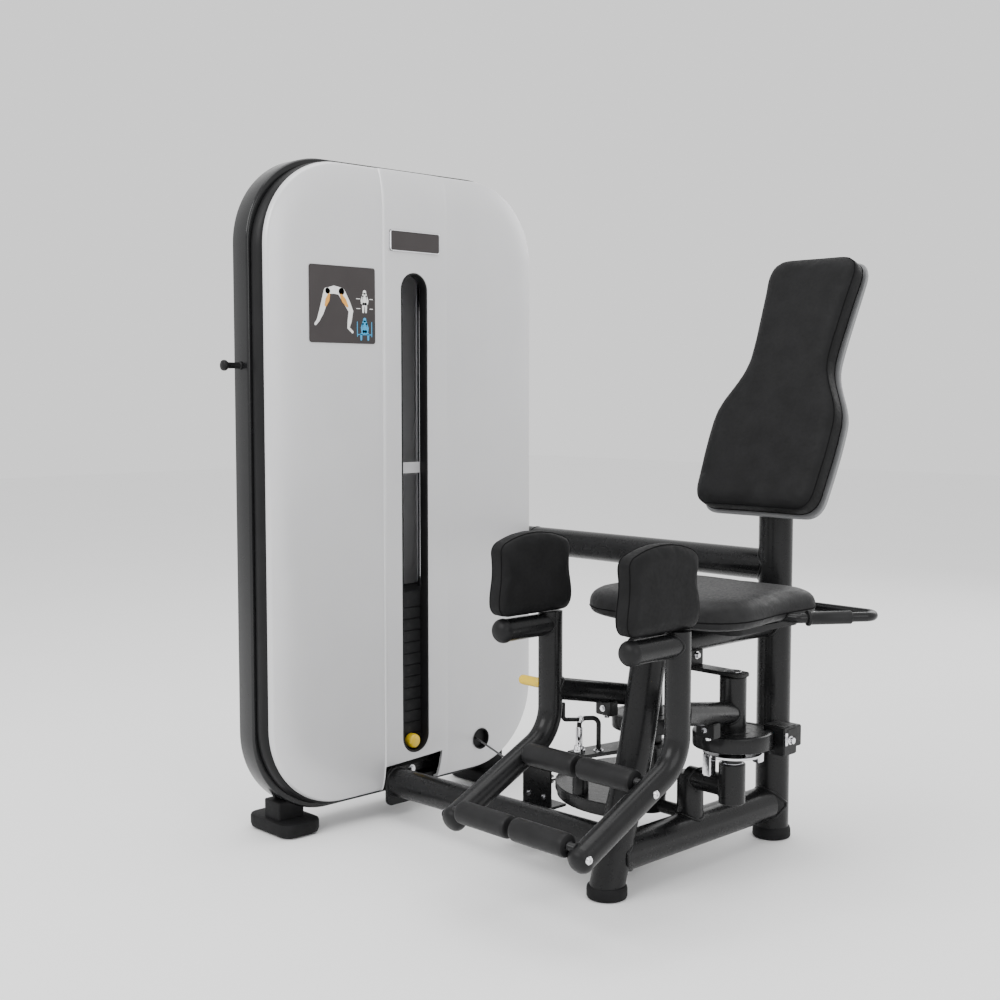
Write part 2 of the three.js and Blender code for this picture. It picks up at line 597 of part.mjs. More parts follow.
// Bottle-shaped outline of the back pad, drawn in by an inset.
function backOutline(inset) {
  const bottom = BACK.bottom + inset;
  const top = BACK.top - inset;
  const low = 165 - inset;
  const high = 118 - inset;
  const neck = 110 - inset;
  const half = new THREE.Path();
  half.moveTo(0, bottom);
  half.lineTo(low - 50, bottom);
  half.quadraticCurveTo(low - 6, bottom, low - 4, bottom + 48);
  half.bezierCurveTo(low + 1, bottom + 120, low + 2, -110, low, -60);
  half.bezierCurveTo(low - 4, -5, neck + 4, 30, neck, 88);
  half.bezierCurveTo(neck - 2, 140, high - 3, 220, high, top - 48);
  half.quadraticCurveTo(high, top, high - 46, top);
  half.lineTo(0, top);
  const right = half.getPoints(4);
  const left = right.slice(1, -1).reverse().map((point) => new THREE.Vector2(-point.x, point.y));
  return [...right, ...left];
}
const backRound = [[10, 0], [3, 4], [0, 14], [0, BACK.thickness - 8], [4, BACK.thickness]];
const backCushion = lofted(backRound.map(([inset, depth]) => [backOutline(inset), depth]), backFrame);
addPart('back_cushion', backCushion, BLACK_LEATHER);
const shellStart = BACK.thickness + GAP;
addPart('back_shell', lofted([
  [backOutline(3), shellStart],
  [backOutline(1), shellStart + 5],
  [backOutline(6), shellStart + 12],
], backFrame), finish(0x8d8f92, 0.4, 0));

const postTop = 960;
const behindBack = prism(
  roundedOutline(-300, 300, BACK.bottom - 200, BACK.top + 200, 10, 1),
  -200,
  200 + shellStart + 12 + GAP,
  backFrame,
);
addPart('rear_post', disc(0, POST_Y, 26, postTop, POST_RADIUS, 28)
  .subtract(behindBack)
  .add(box([20, 480, 215], [60, 585, 262])), BLACK_PAINT);

const upperBeam = rod([TOWER_X - 24, POST_Y, UPPER_BEAM.z], [0, POST_Y, UPPER_BEAM.z], UPPER_BEAM.radius, 24)
  .subtract(disc(0, POST_Y, 300, 900, POST_RADIUS + GAP, 28))
  .add(box([TOWER_X - 24, hoopRearY + GAP, 545], [TOWER_X + 38, hoopRearY + 12, 705]));
addPart('upper_beam', upperBeam, BLACK_PAINT);

// Low beam: from the tower's floor beam, through the shroud's notch, to the foot of the front leg.
const lowBeamEnds = [[LOW_BEAM.end, LOW_BEAM.y, LOW_BEAM.outerZ], [-16, LOW_BEAM.y, LOW_BEAM.innerZ]];
const lowBeamRod = (radius) => rod(...lowBeamEnds, radius, 24);
const stub = { y: LOW_BEAM.y, z: towerFloor + 11, radius: 10 };
const lowBeam = lowBeamRod(LOW_BEAM.radius)
  .add(prism(roundedOutline(11, 100, 28, 118, 16, 3), LOW_BEAM.end - 8, 9, ACROSS_X))
  .add(rod([TOWER_X + 40 + GAP, stub.y, stub.z], [LOW_BEAM.end - 4, stub.y, stub.z], stub.radius, 12))
  .subtract(rod([0, 0, BASE_BEAM_Z], [0, 300, BASE_BEAM_Z], BEAM_RADIUS + GAP, 24))
  .subtract(solid(sweptBar(legPath(), LEG_RADIUS + GAP, 20)));
addPart('low_beam', lowBeam, BLACK_PAINT);

// Short post on the base beam, with a cross tube to each lower pivot housing.
const rightHousing = { bottom: 161, top: 245, neck: 263 };
const leftHousing = { bottom: 100, top: 133.4, radius: 36 };
const shortPost = disc(0, SHORT_POST.y, BASE_BEAM_Z + 4, SHORT_POST.top, SHORT_POST.radius, 24)
  .add(rod([0, PIVOT.y, SHORT_POST.tubeZ], [PIVOT.x, PIVOT.y, SHORT_POST.tubeZ], SHORT_POST.tubeRadius, 20))
  .add(disc(PIVOT.x, PIVOT.y, rightHousing.bottom, rightHousing.top, HUB_RADIUS, 24))
  .add(disc(PIVOT.x, PIVOT.y, rightHousing.top - 1, rightHousing.neck, HUB_RADIUS - 6, 24))
  .add(rod([0, PIVOT.y, 114], [-PIVOT.x, PIVOT.y, 114], 14, 16))
  .add(disc(-PIVOT.x, PIVOT.y, leftHousing.bottom, leftHousing.top, leftHousing.radius, 24))
  .subtract(disc(PIVOT.x, PIVOT.y, rightHousing.bottom + 8, 300, SHAFT_RADIUS + GAP, 20))
  .subtract(disc(-PIVOT.x, PIVOT.y, leftHousing.bottom + 6, 300, SHAFT_RADIUS + GAP, 20))
  .subtract(rod([0, 0, BASE_BEAM_Z], [0, 600, BASE_BEAM_Z], BEAM_RADIUS + GAP, 24));
addPart('short_post', shortPost, BLACK_PAINT);

// Bearing plate under the seat rail, holding the tops of both pivot shafts.
const plateTopZ = BEARING_PLATE.bottom + BEARING_PLATE.thickness;
const bearingPlate = prism(
  roundedOutline(
    -BEARING_PLATE.length / 2,
    BEARING_PLATE.length / 2,
    PIVOT.y - BEARING_PLATE.width / 2,
    PIVOT.y + BEARING_PLATE.width / 2,
    10,
    4,
  ),
  BEARING_PLATE.bottom,
  BEARING_PLATE.thickness,
)
  .add(box([-HANGER_HALF_WIDTH, PIVOT.y - 22, plateTopZ - 1], [HANGER_HALF_WIDTH, PIVOT.y + 22, SEAT_RAIL.z]))
  .subtract(rod([0, 0, SEAT_RAIL.z], [0, 600, SEAT_RAIL.z], SEAT_RAIL.radius + GAP, 20))
  .subtract(disc(PIVOT.x, PIVOT.y, 400, 500, SHAFT_RADIUS + GAP, 20))
  .subtract(disc(-PIVOT.x, PIVOT.y, 400, 500, SHAFT_RADIUS + GAP, 20))
  .subtract(box([-80, 0, SEAT_RAIL.z - 8], [80, 500, 600]));
addPart('bearing_plate', bearingPlate, BLACK_PAINT);

const shafts = [
  ['right', -PIVOT.x, leftHousing.bottom + 6],
  ['left', PIVOT.x, rightHousing.bottom + 8],
];
for (const [name, x, bottom] of shafts) {
  addPart(`pivot_shaft_${name}`, disc(x, PIVOT.y, bottom + GAP, plateTopZ, SHAFT_RADIUS, 20), CHROME);
}

// ---------------------------------------------------------------- seat
function seatOutline(inset) {
  const half = new THREE.Path();
  const wide = SEAT.frontHalf - inset;
  const narrow = SEAT.backHalf - inset;
  const front = SEAT.front + inset;
  const back = SEAT.back - inset;
  half.moveTo(0, front);
  half.lineTo(wide - 107, front);
  half.bezierCurveTo(wide - 55, front, wide - 2, front + 27, wide, 200);
  half.bezierCurveTo(wide, 250, narrow + 1.5, 300, narrow + 1, 330);
  half.lineTo(narrow, back - 48);
  half.quadraticCurveTo(narrow, back, narrow - 49, back);
  half.lineTo(0, back);
  const right = half.getPoints(4);
  const left = right.slice(1, -1).reverse().map((point) => new THREE.Vector2(-point.x, point.y));
  return [...right, ...left];
}
const seatRound = [
  [14, SEAT.bottom],
  [2, SEAT.bottom + 8],
  [0, SEAT.bottom + 22],
  [3, SEAT.top - 14],
  [16, SEAT.top - 3],
  [50, SEAT.top],
];
// A slot in the underside on each side takes the end of a side handle.
const handleSlot = (side) => box(
  [Math.min(side * 149.8, side * 215), 326, SEAT.bottom - 10],
  [Math.max(side * 149.8, side * 215), 372, 554],
);
addPart('seat_cushion', lofted(seatRound.map(([inset, z]) => [seatOutline(inset), z]))
  .subtract(handleSlot(1))
  .subtract(handleSlot(-1)), BLACK_LEATHER);

const boardBottom = SEAT_RAIL.z + SEAT_RAIL.radius + GAP;
addPart('seat_board', prism(
  roundedOutline(-150, 150, 210, 450, 30, 4),
  boardBottom,
  SEAT.bottom - GAP - boardBottom,
), BLACK_PLASTIC);

// Side handles: each bar runs out from the rear post, forwards beside the seat and in to its board.
const HANDLE = { radius: 10, z: 543.5, barY: 513, end: 153.5 };
const gripEnds = { front: [213, 369], back: [267, 446] };
for (const [name, side] of [['left', 1], ['right', -1]]) {
  const corners = [
    [side * 20, HANDLE.barY, HANDLE.z],
    [side * 314, HANDLE.barY, HANDLE.z, 27],
    [side * 203, 355, HANDLE.z, 12],
    [side * HANDLE.end, 340.8, HANDLE.z],
  ];
  const handle = solid(sweptBar(roundedPath(corners, 5), HANDLE.radius, 12))
    .subtract(disc(0, POST_Y, 300, 900, POST_RADIUS + GAP, 28));
  addPart(`handle_${name}`, handle, BLACK_PAINT);
  const gripPoint = (share) => {
    const [x, y] = gripEnds.front.map((start, i) => start + (gripEnds.back[i] - start) * share);
    return [side * x, y, HANDLE.z];
  };
  const grip = rod(gripPoint(0), gripPoint(1), 14, 16)
    .subtract(rod(gripPoint(-0.1), gripPoint(1.1), HANDLE.radius + 0.8, 16));
  addPart(`grip_${name}`, grip, BLACK_RUBBER);
}

// ---------------------------------------------------------------- guide pulley box on the low beam
// A foot plate on the low beam, a front plate and a top plate, with the pulley's axle between them.
const guard = box([-372, 60, 82], [-288, 190, 88])
  .add(box([-372, 135, 82], [-285, 140, 174]))
  .add(box([-372, 135, 169], [-285, 190, 174]))
  .add(disc(guide.x, guide.y, 86, 171, 5, 16))
  .subtract(lowBeamRod(LOW_BEAM.radius + GAP));
addPart('pulley_guard', guard, BLACK_PAINT);

// ---------------------------------------------------------------- thigh arms
// side is +1 for the user's left arm and -1 for the right one.
function armFrame(side, hubBottom) {
  const bend = [
    [side * ARM_X, ARM_Y, PAD.bottom - GAP],
    [side * ARM_X, ARM_Y, 305, 85],
    [side * ARM_X, -256, 176],
  ];
  let frame = solid(sweptBar(roundedPath(bend, 7), ARM_RADIUS, 16));
  const padTubeEnd = [side * ARM_X, PAD_TUBE.front + 8, PAD_TUBE.z];
  frame = frame.add(rod(padTubeEnd, [side * ARM_X, ARM_Y, PAD_TUBE.z], PAD_TUBE.radius, 16));
  const capProfile = [[0, -8], [25, -8], [25.5, 2], [20, 11], [10, 15.5], [0, 17]];
  frame = frame.add(turned(capProfile, padTubeEnd, [0, -1, 0], 16));
  frame = frame.add(turned(capProfile, [side * ARM_X, -256, 176], [0, -256 - ARM_Y, 176 - 305], 16));
  frame = frame.add(rod([side * ARM_X, ARM_Y, 395], [side * PIVOT.x, PIVOT.y, 348], LEVER_RADIUS, 16));
  frame = frame.add(disc(side * PIVOT.x, PIVOT.y, hubBottom, BEARING_PLATE.bottom - GAP, HUB_RADIUS, 24));
  const blockX = [side * 112, side * 156].sort((a, b) => a - b);
  frame = frame.add(box([blockX[0], 138, 322], [blockX[1], 162, 362]));
  for (const { y, z } of FOOT_GRIPS) {
    const pinEnd = [side * (FOOT_GRIP.from + 4), y, z];
    frame = frame.add(rod([side * (ARM_X - 6), y, z], pinEnd, FOOT_GRIP.pin, 12));
  }
  const bore = disc(side * PIVOT.x, PIVOT.y, hubBottom - 1, BEARING_PLATE.bottom + 1, SHAFT_RADIUS + 0.5, 20);
  return frame.subtract(bore);
}

// Outline of a thigh pad: waisted sides, and a top edge that arches between its corners.
function padOutline(inset) {
  const side = (PAD.back - PAD.front) / 2 - inset;
  const bottom = PAD.bottom + inset;
  const top = PAD.top - inset;
  const half = new THREE.Path();
  half.moveTo(0, bottom);
  half.lineTo(side - 28, bottom);
  half.quadraticCurveTo(side, bottom, side, bottom + 32);
  half.bezierCurveTo(side, bottom + 60, side - 8, bottom + 70, side - 5, top - 40);
  half.quadraticCurveTo(side - 3, top - 20, side - 28, top - 13);
  half.quadraticCurveTo(side - 62, top, 0, top);
  const rear = half.getPoints(4);
  const front = rear.slice(1, -1).reverse().map((point) => new THREE.Vector2(-point.x, point.y));
  const middle = (PAD.front + PAD.back) / 2;
  return [...rear, ...front].map((point) => new THREE.Vector2(point.x + middle, point.y));
}

function thighPad(side) {
  const from = side > 0 ? PAD.inner : -PAD.outer;
  const thickness = PAD.outer - PAD.inner;
  const rings = [[9, 0], [2, 3], [0, 10], [0, thickness - 10], [2, thickness - 3], [9, thickness]];
  return lofted(rings.map(([inset, depth]) => [padOutline(inset), from + depth]), ACROSS_X);
}

function startPin() {
  // Yellow pull knob on the outer side of the right-hand arm, with its pin in the arm's tube wall.
  const profile = [[0, 0], [9, 0], [10.5, 4], [10.5, 56], [7, 61], [0, 61]];
  return turned(profile, [-ARM_X - ARM_RADIUS - GAP - 0.5, ARM_Y, 400], [-1, 0, 0], 16);
}

const arms = [
  { name: 'left', side: 1, hubBottom: LOCK_RING.top + GAP },
  { name: 'right', side: -1, hubBottom: leftHousing.top + GAP },
];
for (const { name, side, hubBottom } of arms) {
  addPart(`arm_frame_${name}`, armFrame(side, hubBottom), BLACK_PAINT);
  addPart(`thigh_pad_${name}`, thighPad(side), BLACK_LEATHER);
  let camDisc = disc(side * PIVOT.x, PIVOT.y, DISC.bottom, DISC.top, DISC.radius, 28)
    .subtract(disc(side * PIVOT.x, PIVOT.y, DISC.bottom - 1, DISC.top + 1, HUB_RADIUS + GAP, 24));
  if (side > 0) camDisc = camDisc.add(box(...LATCH_BLOCK));
  addPart(`cam_disc_${name}`, camDisc, BLACK_PAINT);
  for (const grip of FOOT_GRIPS) {
    const { radius, from, to, pin } = FOOT_GRIP;
    const sleeve = rod([side * from, grip.y, grip.z], [side * to, grip.y, grip.z], radius, 16)
      .subtract(rod([side * (from + 3), grip.y, grip.z], [side * (to + 1), grip.y, grip.z], pin + 0.6, 12));
    addPart(`foot_grip_${grip.name}_${name}`, sleeve, BLACK_RUBBER);
  }
}
addPart('start_pin', startPin(), YELLOW);

// Bright ring on the left arm's housing, with two tabs turned down from its edge.
addPart('lock_ring', disc(PIVOT.x, PIVOT.y, LOCK_RING.bottom, LOCK_RING.top, LOCK_RING.radius, 32)
  .add(box([66, 217, 218], [89, 239, LOCK_RING.top]))
  .add(box([138, 290, 246], [156, 310, LOCK_RING.bottom + 4]))
  .subtract(disc(PIVOT.x, PIVOT.y, 200, 300, SHAFT_RADIUS + GAP, 20)), CHROME);

// Range latch on the right arm: a strap from the hub that carries a post, a bow over it and the
// release rod that comes down from the lever tube.
const strapOutline = [[-76, 262], [-124, 72], [-176, 72], [-176, 100], [-148, 262]]
  .map(([x, y]) => new THREE.Vector2(x, y));
const latchPost = { x: -156, y: 88 };
const bow = [
  [latchPost.x, latchPost.y, 290],
  [latchPost.x, latchPost.y, 320, 14],
  [-131, 121, 320, 14],
  [-131, 121, 246],
];
const releaseRod = [[-157, 40, 361], [-157, 40, 325, 10], [latchPost.x + 1, latchPost.y - 2, 318]];
const rangeLatch = prism(strapOutline, 242, 8)
  .add(disc(-PIVOT.x, PIVOT.y, 242, 250, 40, 24))
  .add(disc(latchPost.x, latchPost.y, 249, 300, 7, 12))
  .add(disc(latchPost.x, latchPost.y, 249, 266, 13, 12))
  .add(solid(sweptBar(roundedPath(bow, 4), 5, 10)))
  .add(solid(sweptBar(roundedPath(releaseRod, 3), 4.5, 10)))
  .subtract(disc(-PIVOT.x, PIVOT.y, 200, 300, HUB_RADIUS + GAP, 24));
addPart('range_latch', rangeLatch, BLACK_PAINT);

// Cable cam on the right arm: a rim that takes the cable, a wider plate over it, and the stud that
// stands on it.
const camX = -PIVOT.x;
const sector = (radius, bottom, top) => prism(
  [...arc(camX, PIVOT.y, radius, CAM.from, CAM.to, 26), new THREE.Vector2(camX + 10, PIVOT.y + 30)],
  bottom,
  top - bottom,
);
const cableCam = sector(CAM.radius, CAM.bottom, CAM.rimTop)
  .add(sector(CAM.plate, CAM.rimTop - 1, CAM.top))
  .add(disc(camX, PIVOT.y, CAM.bottom, CAM.top + 14, HUB_RADIUS + 10, 24))
  .add(disc(STUD.x, STUD.y, CAM.top - 1, CAM.top + STUD.height, STUD.radius, 20))
  .subtract(disc(camX, PIVOT.y, 100, 240, HUB_RADIUS + GAP, 24));
addPart('cable_cam', cableCam, BLACK_PAINT);

export default machine;
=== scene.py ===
"""Hip abductor machine: the looks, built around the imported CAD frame. Lengths below are in millimetres."""
import math
import bmesh
import bpy
from mathutils import Matrix, Vector
from mathutils.bvhtree import BVHTree


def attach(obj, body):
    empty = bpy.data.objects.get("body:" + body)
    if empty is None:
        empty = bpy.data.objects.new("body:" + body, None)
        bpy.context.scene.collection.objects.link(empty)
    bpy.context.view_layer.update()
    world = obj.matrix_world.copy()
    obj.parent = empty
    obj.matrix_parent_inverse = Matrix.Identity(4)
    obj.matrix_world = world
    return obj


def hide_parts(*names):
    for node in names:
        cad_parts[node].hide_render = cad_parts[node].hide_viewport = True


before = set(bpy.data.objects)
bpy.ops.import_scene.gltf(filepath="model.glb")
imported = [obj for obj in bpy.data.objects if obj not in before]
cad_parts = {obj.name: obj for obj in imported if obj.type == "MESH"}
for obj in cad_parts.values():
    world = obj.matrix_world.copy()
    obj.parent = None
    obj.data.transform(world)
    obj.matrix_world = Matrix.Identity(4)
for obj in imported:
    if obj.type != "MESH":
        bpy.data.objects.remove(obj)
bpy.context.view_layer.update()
MM = 0.001

# ---------------------------------------------------------------- dimensions, as in the CAD
TOWER_X, TOWER_Y, STACK_Y = -787.5, 100.0, 98.5
HOOP_BACK, HOOP_FRONT = -816.0, -759.0
SHROUD_RIM, FACE_X = -727.4, -700.4
REAR_TRIM_X, REAR_RIM = -830.3, -830.6
HOOP_CORNER, COVER_CORNER = 200.0, 215.0
PLATE_PITCH = 27.8
NOTCH = [(8, -20), (174, -20), (184, 133), (8, 124)]
POST_Y = 561.0
PIVOT_X, PIVOT_Y = 110.0, 262.0
ARM_X, ARM_Y = 167.0, 12.0
PAD_Y = -45.5
COVER_BULGE = 27.0
PAD_PRESSURE = 4.0
BACK_Y, BACK_Z, SHELL_DEPTH = 555.0, 1000.0, 64.4
TILT = math.radians(23.7)
HOLE_Y, HOLE_Z = 313.0, 139.0
BASE_Z, RAIL_Z, UPPER_Z, HANDLE_Z = 80.0, 488.0, 616.0, 543.5
LEG_R, BASE_R, RAIL_R, UPPER_R, POST_R = 35.5, 38.0, 27.0, 35.0, 37.5


# ---------------------------------------------------------------- materials
def socket(node, name, value):
    node.inputs[name].default_value = value


def material(name, color, rough, metallic=0.0, vary=0.12, vary_scale=14.0, rough_vary=0.06,
        bumps=(), coat=0.0, coat_rough=0.08, sheen=0.0, specular=0.5, stretch=None):
    """Principled material: colour and roughness drift over the surface, and each bump is
    (pattern, scale per metre, depth in mm)."""
    mat = bpy.data.materials.new(name)
    mat.use_nodes = True
    nodes, links = mat.node_tree.nodes, mat.node_tree.links
    shader = nodes["Principled BSDF"]
    socket(shader, "Metallic", metallic)
    socket(shader, "IOR", 1.5)
    socket(shader, "Specular IOR Level", specular)
    socket(shader, "Coat Weight", coat)
    socket(shader, "Coat Roughness", coat_rough)
    socket(shader, "Sheen Weight", sheen)
    coords = nodes.new("ShaderNodeTexCoord")
    where = coords.outputs["Object"]
    if stretch:
        mapping = nodes.new("ShaderNodeMapping")
        socket(mapping, "Scale", stretch)
        links.new(where, mapping.inputs["Vector"])
        where = mapping.outputs["Vector"]
    drift = nodes.new("ShaderNodeTexNoise")
    socket(drift, "Scale", vary_scale)
    socket(drift, "Detail", 6.0)
    links.new(where, drift.inputs["Vector"])
    ramp = nodes.new("ShaderNodeValToRGB")
    ramp.color_ramp.elements[0].position = 0.3
    ramp.color_ramp.elements[1].position = 0.7
    ramp.color_ramp.elements[0].color = [c * (1 - vary) for c in color] + [1.0]
    ramp.color_ramp.elements[1].color = [min(1.0, c * (1 + vary)) for c in color] + [1.0]
    links.new(drift.outputs["Fac"], ramp.inputs["Fac"])
    links.new(ramp.outputs["Color"], shader.inputs["Base Color"])
    fine = nodes.new("ShaderNodeTexNoise")
    socket(fine, "Scale", vary_scale * 7)
    socket(fine, "Detail", 5.0)
    links.new(where, fine.inputs["Vector"])
    spread = nodes.new("ShaderNodeMapRange")
    socket(spread, "From Min", 0.3)
    socket(spread, "From Max", 0.7)
    socket(spread, "To Min", max(0.02, rough - rough_vary))
    socket(spread, "To Max", min(1.0, rough + rough_vary))
    links.new(fine.outputs["Fac"], spread.inputs["Value"])
    links.new(spread.outputs["Result"], shader.inputs["Roughness"])
    normal = None
    for pattern, scale, depth in bumps:
        if pattern == "grain":
            texture = nodes.new("ShaderNodeTexVoronoi")
            texture.feature = "DISTANCE_TO_EDGE"
            socket(texture, "Randomness", 0.9)
            height = texture.outputs["Distance"]
        else:
            texture = nodes.new("ShaderNodeTexNoise")
            socket(texture, "Detail", 4.0)
            height = texture.outputs["Fac"]
        socket(texture, "Scale", scale)
        links.new(where, texture.inputs["Vector"])
        bump = nodes.new("ShaderNodeBump")
        socket(bump, "Strength", 0.6)
        socket(bump, "Distance", depth * MM)
        links.new(height, bump.inputs["Height"])
        if normal:
            links.new(normal, bump.inputs["Normal"])
        normal = bump.outputs["Normal"]
    if normal:
        links.new(normal, shader.inputs["Normal"])
    return mat


PAINT = material("black_powder_coat", (0.0075, 0.0076, 0.008), 0.3, vary=0.2, bumps=[("noise", 1400, 0.015)],
        coat=0.1, coat_rough=0.14, specular=0.2)
HOOP_PAINT = material("hoop_gloss_black", (0.009, 0.0092, 0.0098), 0.22, vary=0.15,
        bumps=[("noise", 900, 0.012)],
        coat=0.22, coat_rough=0.1, specular=0.25)
SILVER = material("satin_silver", (0.64, 0.64, 0.65), 0.38, metallic=0.25, vary=0.025, vary_scale=5,
        rough_vary=0.04, bumps=[("noise", 1500, 0.02)])
PLASTIC = material("moulded_black_plastic", (0.009, 0.009, 0.0095), 0.42, vary=0.2,
        bumps=[("grain", 900, 0.06)], specular=0.18)
RUBBER = material("moulded_black_rubber", (0.009, 0.009, 0.0095), 0.62, vary=0.25, vary_scale=30,
        bumps=[("noise", 700, 0.12)], specular=0.14)
GRIP = material("grip_rubber", (0.013, 0.013, 0.0135), 0.45, vary=0.22, vary_scale=25,
        bumps=[("noise", 1200, 0.08)], specular=0.16)
GUIDE_GREY = material("light_grey_guide", (0.5, 0.5, 0.51), 0.45, vary=0.05, bumps=[("noise", 900, 0.03)])
GREY = material("warm_grey_plastic", (0.046, 0.041, 0.041), 0.4, vary=0.06, bumps=[("noise", 1200, 0.03)],
        specular=0.22)
SHELL = material("grey_moulded_shell", (0.17, 0.172, 0.176), 0.36, vary=0.08, bumps=[("grain", 700, 0.06)])
LEATHER = material("pad_upholstery", (0.008, 0.008, 0.0084), 0.56, vary=0.25, vary_scale=20, rough_vary=0.08,
        bumps=[("grain", 520, 0.16), ("noise", 1600, 0.05), ("noise", 30, 0.5)], specular=0.12)
SEAT_LEATHER = material("seat_upholstery", (0.015, 0.015, 0.0155), 0.5, vary=0.3, vary_scale=26,
        rough_vary=0.1,
        bumps=[("grain", 330, 0.3), ("noise", 1300, 0.08), ("noise", 26, 0.6)], sheen=0.05,
        specular=0.13)
PIPING = material("pad_piping", (0.006, 0.006, 0.0063), 0.72, vary=0.2, bumps=[("noise", 1500, 0.08)],
        specular=0.04)
CHROME = material("polished_chrome", (0.72, 0.72, 0.74), 0.1, metallic=1.0, vary=0.05, vary_scale=30,
        rough_vary=0.04)
STEEL = material("turned_steel", (0.42, 0.43, 0.44), 0.27, metallic=1.0, vary=0.1, stretch=(1, 1, 30),
        bumps=[("noise", 300, 0.02)])
IRON = material("painted_iron", (0.016, 0.0162, 0.017), 0.5, vary=0.3, vary_scale=40,
        bumps=[("noise", 500, 0.25)], specular=0.2)
YELLOW = material("yellow_knob", (0.74, 0.5, 0.012), 0.34, vary=0.08, vary_scale=40,
        bumps=[("noise", 900, 0.05)],
        coat=0.2)
CABLE = material("cable_jacket", (0.05, 0.05, 0.052), 0.35, vary=0.2, vary_scale=60,
        bumps=[("noise", 1500, 0.1)])
PRINT_WHITE = material("print_white", (0.8, 0.8, 0.79), 0.45, vary=0.04, vary_scale=60,
        bumps=[("noise", 1500, 0.02)])
PRINT_ORANGE = material("print_orange", (0.72, 0.33, 0.05), 0.45, vary=0.06, vary_scale=60,
        bumps=[("noise", 1500, 0.02)])
PRINT_BLUE = material("print_blue", (0.03, 0.33, 0.62), 0.45, vary=0.06, vary_scale=60,
        bumps=[("noise", 1500, 0.02)])
# Painted shade: a near-black material for thin sheets laid where a hole or recess would be in shadow.
PAINTED_SHADE = material("painted_recess_shade", (0.004, 0.004, 0.0042), 0.6, vary=0.2, bumps=[("noise", 500, 0.1)])


# ---------------------------------------------------------------- mesh tools
def V(*xyz):
    return Vector(xyz)


def rings_to_faces(bm, rings, closed_loop=False):
    """Joins rings of vertices with quads; rings of one vertex become fans."""
    pairs = list(zip(rings, rings[1:])) + ([(rings[-1], rings[0])] if closed_loop else [])
    for a, b in pairs:
        n = max(len(a), len(b))
        for i in range(n):
            j = (i + 1) % n
            corners = [a[i % len(a)], a[j % len(a)], b[j % len(b)], b[i % len(b)]]
            unique = list(dict.fromkeys(corners))
            if len(unique) > 2:
                bm.faces.new(unique)


def sweep(bm, points, radius, sides=36, closed=False, soft=1.6):
    """A round bar along points, with slightly softened end edges."""
    pts = [Vector(p) for p in points]
    count = len(pts)
    tangents = []
    for i in range(count):
        before = pts[i] - pts[i - 1] if (i or closed) else pts[1] - pts[0]
        after = pts[(i + 1) % count] - pts[i] if (i < count - 1 or closed) else pts[-1] - pts[-2]
        tangents.append((before.normalized() + after.normalized()).normalized())
    side = tangents[0].orthogonal().normalized()
    rings = []
    for i, (p, t) in enumerate(zip(pts, tangents)):
        side = (side - t * side.dot(t)).normalized()
        other = t.cross(side)
        for shift, size in end_steps(i, count, radius, closed, soft):
            centre = p + t * shift
            rings.append([bm.verts.new(centre + (side * math.cos(a) + other * math.sin(a)) * size)
                    for a in (2 * math.pi * k / sides for k in range(sides))])
    rings_to_faces(bm, rings, closed)
    if not closed:
        bm.faces.new(rings[0])
        bm.faces.new(rings[-1])


def end_steps(i, count, radius, closed, soft):
    if closed or 0 < i < count - 1 or not soft:
        return [(0, radius)]
    if i == 0:
        return [(0, radius - soft), (soft * 0.35, radius - soft * 0.35), (soft, radius)]
    return [(-soft, radius), (-soft * 0.35, radius - soft * 0.35), (0, radius - soft)]


def bend_path(corners, steps=14):
    """A polyline whose corners, given as (x, y, z, radius), are rounded."""
    at = [Vector(c[:3]) for c in corners]
    path = [at[0]]
    for i in range(1, len(at) - 1):
        radius = corners[i][3] if len(corners[i]) > 3 else 0
        back, ahead = (at[i - 1] - at[i]).normalized(), (at[i + 1] - at[i]).normalized()
        half = (math.pi - back.angle(ahead)) / 2
        if not radius or half < 1e-3:
            path.append(at[i])
            continue
        middle = (back + ahead).normalized()
        centre = at[i] + middle * (radius / math.cos(half))
        start = at[i] + back * (radius * math.tan(half)) - centre
        axis = start.cross(-middle).normalized()
        path += [centre + Matrix.Rotation(2 * half * k / steps, 3, axis) @ start for k in range(steps + 1)]
    return path + [at[-1]]


def lathe(bm, profile, origin, axis=(0, 0, 1), sides=48):
    """Turns (radius, height) points round an axis through origin."""
    turn = V(0, 0, 1).rotation_difference(Vector(axis).normalized()).to_matrix()
    rings = []
    for radius, height in profile:
        if radius < 1e-6:
            rings.append([bm.verts.new(Vector(origin) + turn @ V(0, 0, height))])
            continue
        rings.append([bm.verts.new(Vector(origin) + turn @ V(radius * math.cos(a), radius * math.sin(a),
                height))
                for a in (2 * math.pi * k / sides for k in range(sides))])
    rings_to_faces(bm, rings)
    for end in (rings[0], rings[-1]):
        if len(end) > 1:
            bm.faces.new(end)


def rod(bm, start, end, radius, soft=1.2, sides=36):
    sweep(bm, [start, end], radius, sides, soft=soft)


def solid(bm, outline, low, high, matrix=Matrix.Identity(4), bevel=1.5, segments=3):
    """A plate or block from an outline, with rounded edges."""
    own = bmesh.new()
    rings = [[own.verts.new(matrix @ V(x, y, h)) for x, y in outline] for h in (low, high)]
    rings_to_faces(own, rings)
    own.faces.new(rings[0])
    own.faces.new(rings[1])
    bmesh.ops.recalc_face_normals(own, faces=own.faces)
    if bevel:
        sharp = [e for e in own.edges if len(e.link_faces) == 2 and e.calc_face_angle() > math.radians(40)]
        bmesh.ops.bevel(own, geom=sharp, offset=bevel, segments=segments, affect="EDGES", clamp_overlap=True)
    mesh = bpy.data.meshes.new("scratch")
    own.to_mesh(mesh)
    own.free()
    bm.from_mesh(mesh)
    bpy.data.meshes.remove(mesh)


def box(bm, low, high, bevel=1.5, segments=3):
    solid(bm, [(low[0], low[1]), (high[0], low[1]), (high[0], high[1]), (low[0], high[1])], low[2], high[2],
          bevel=bevel, segments=segments)


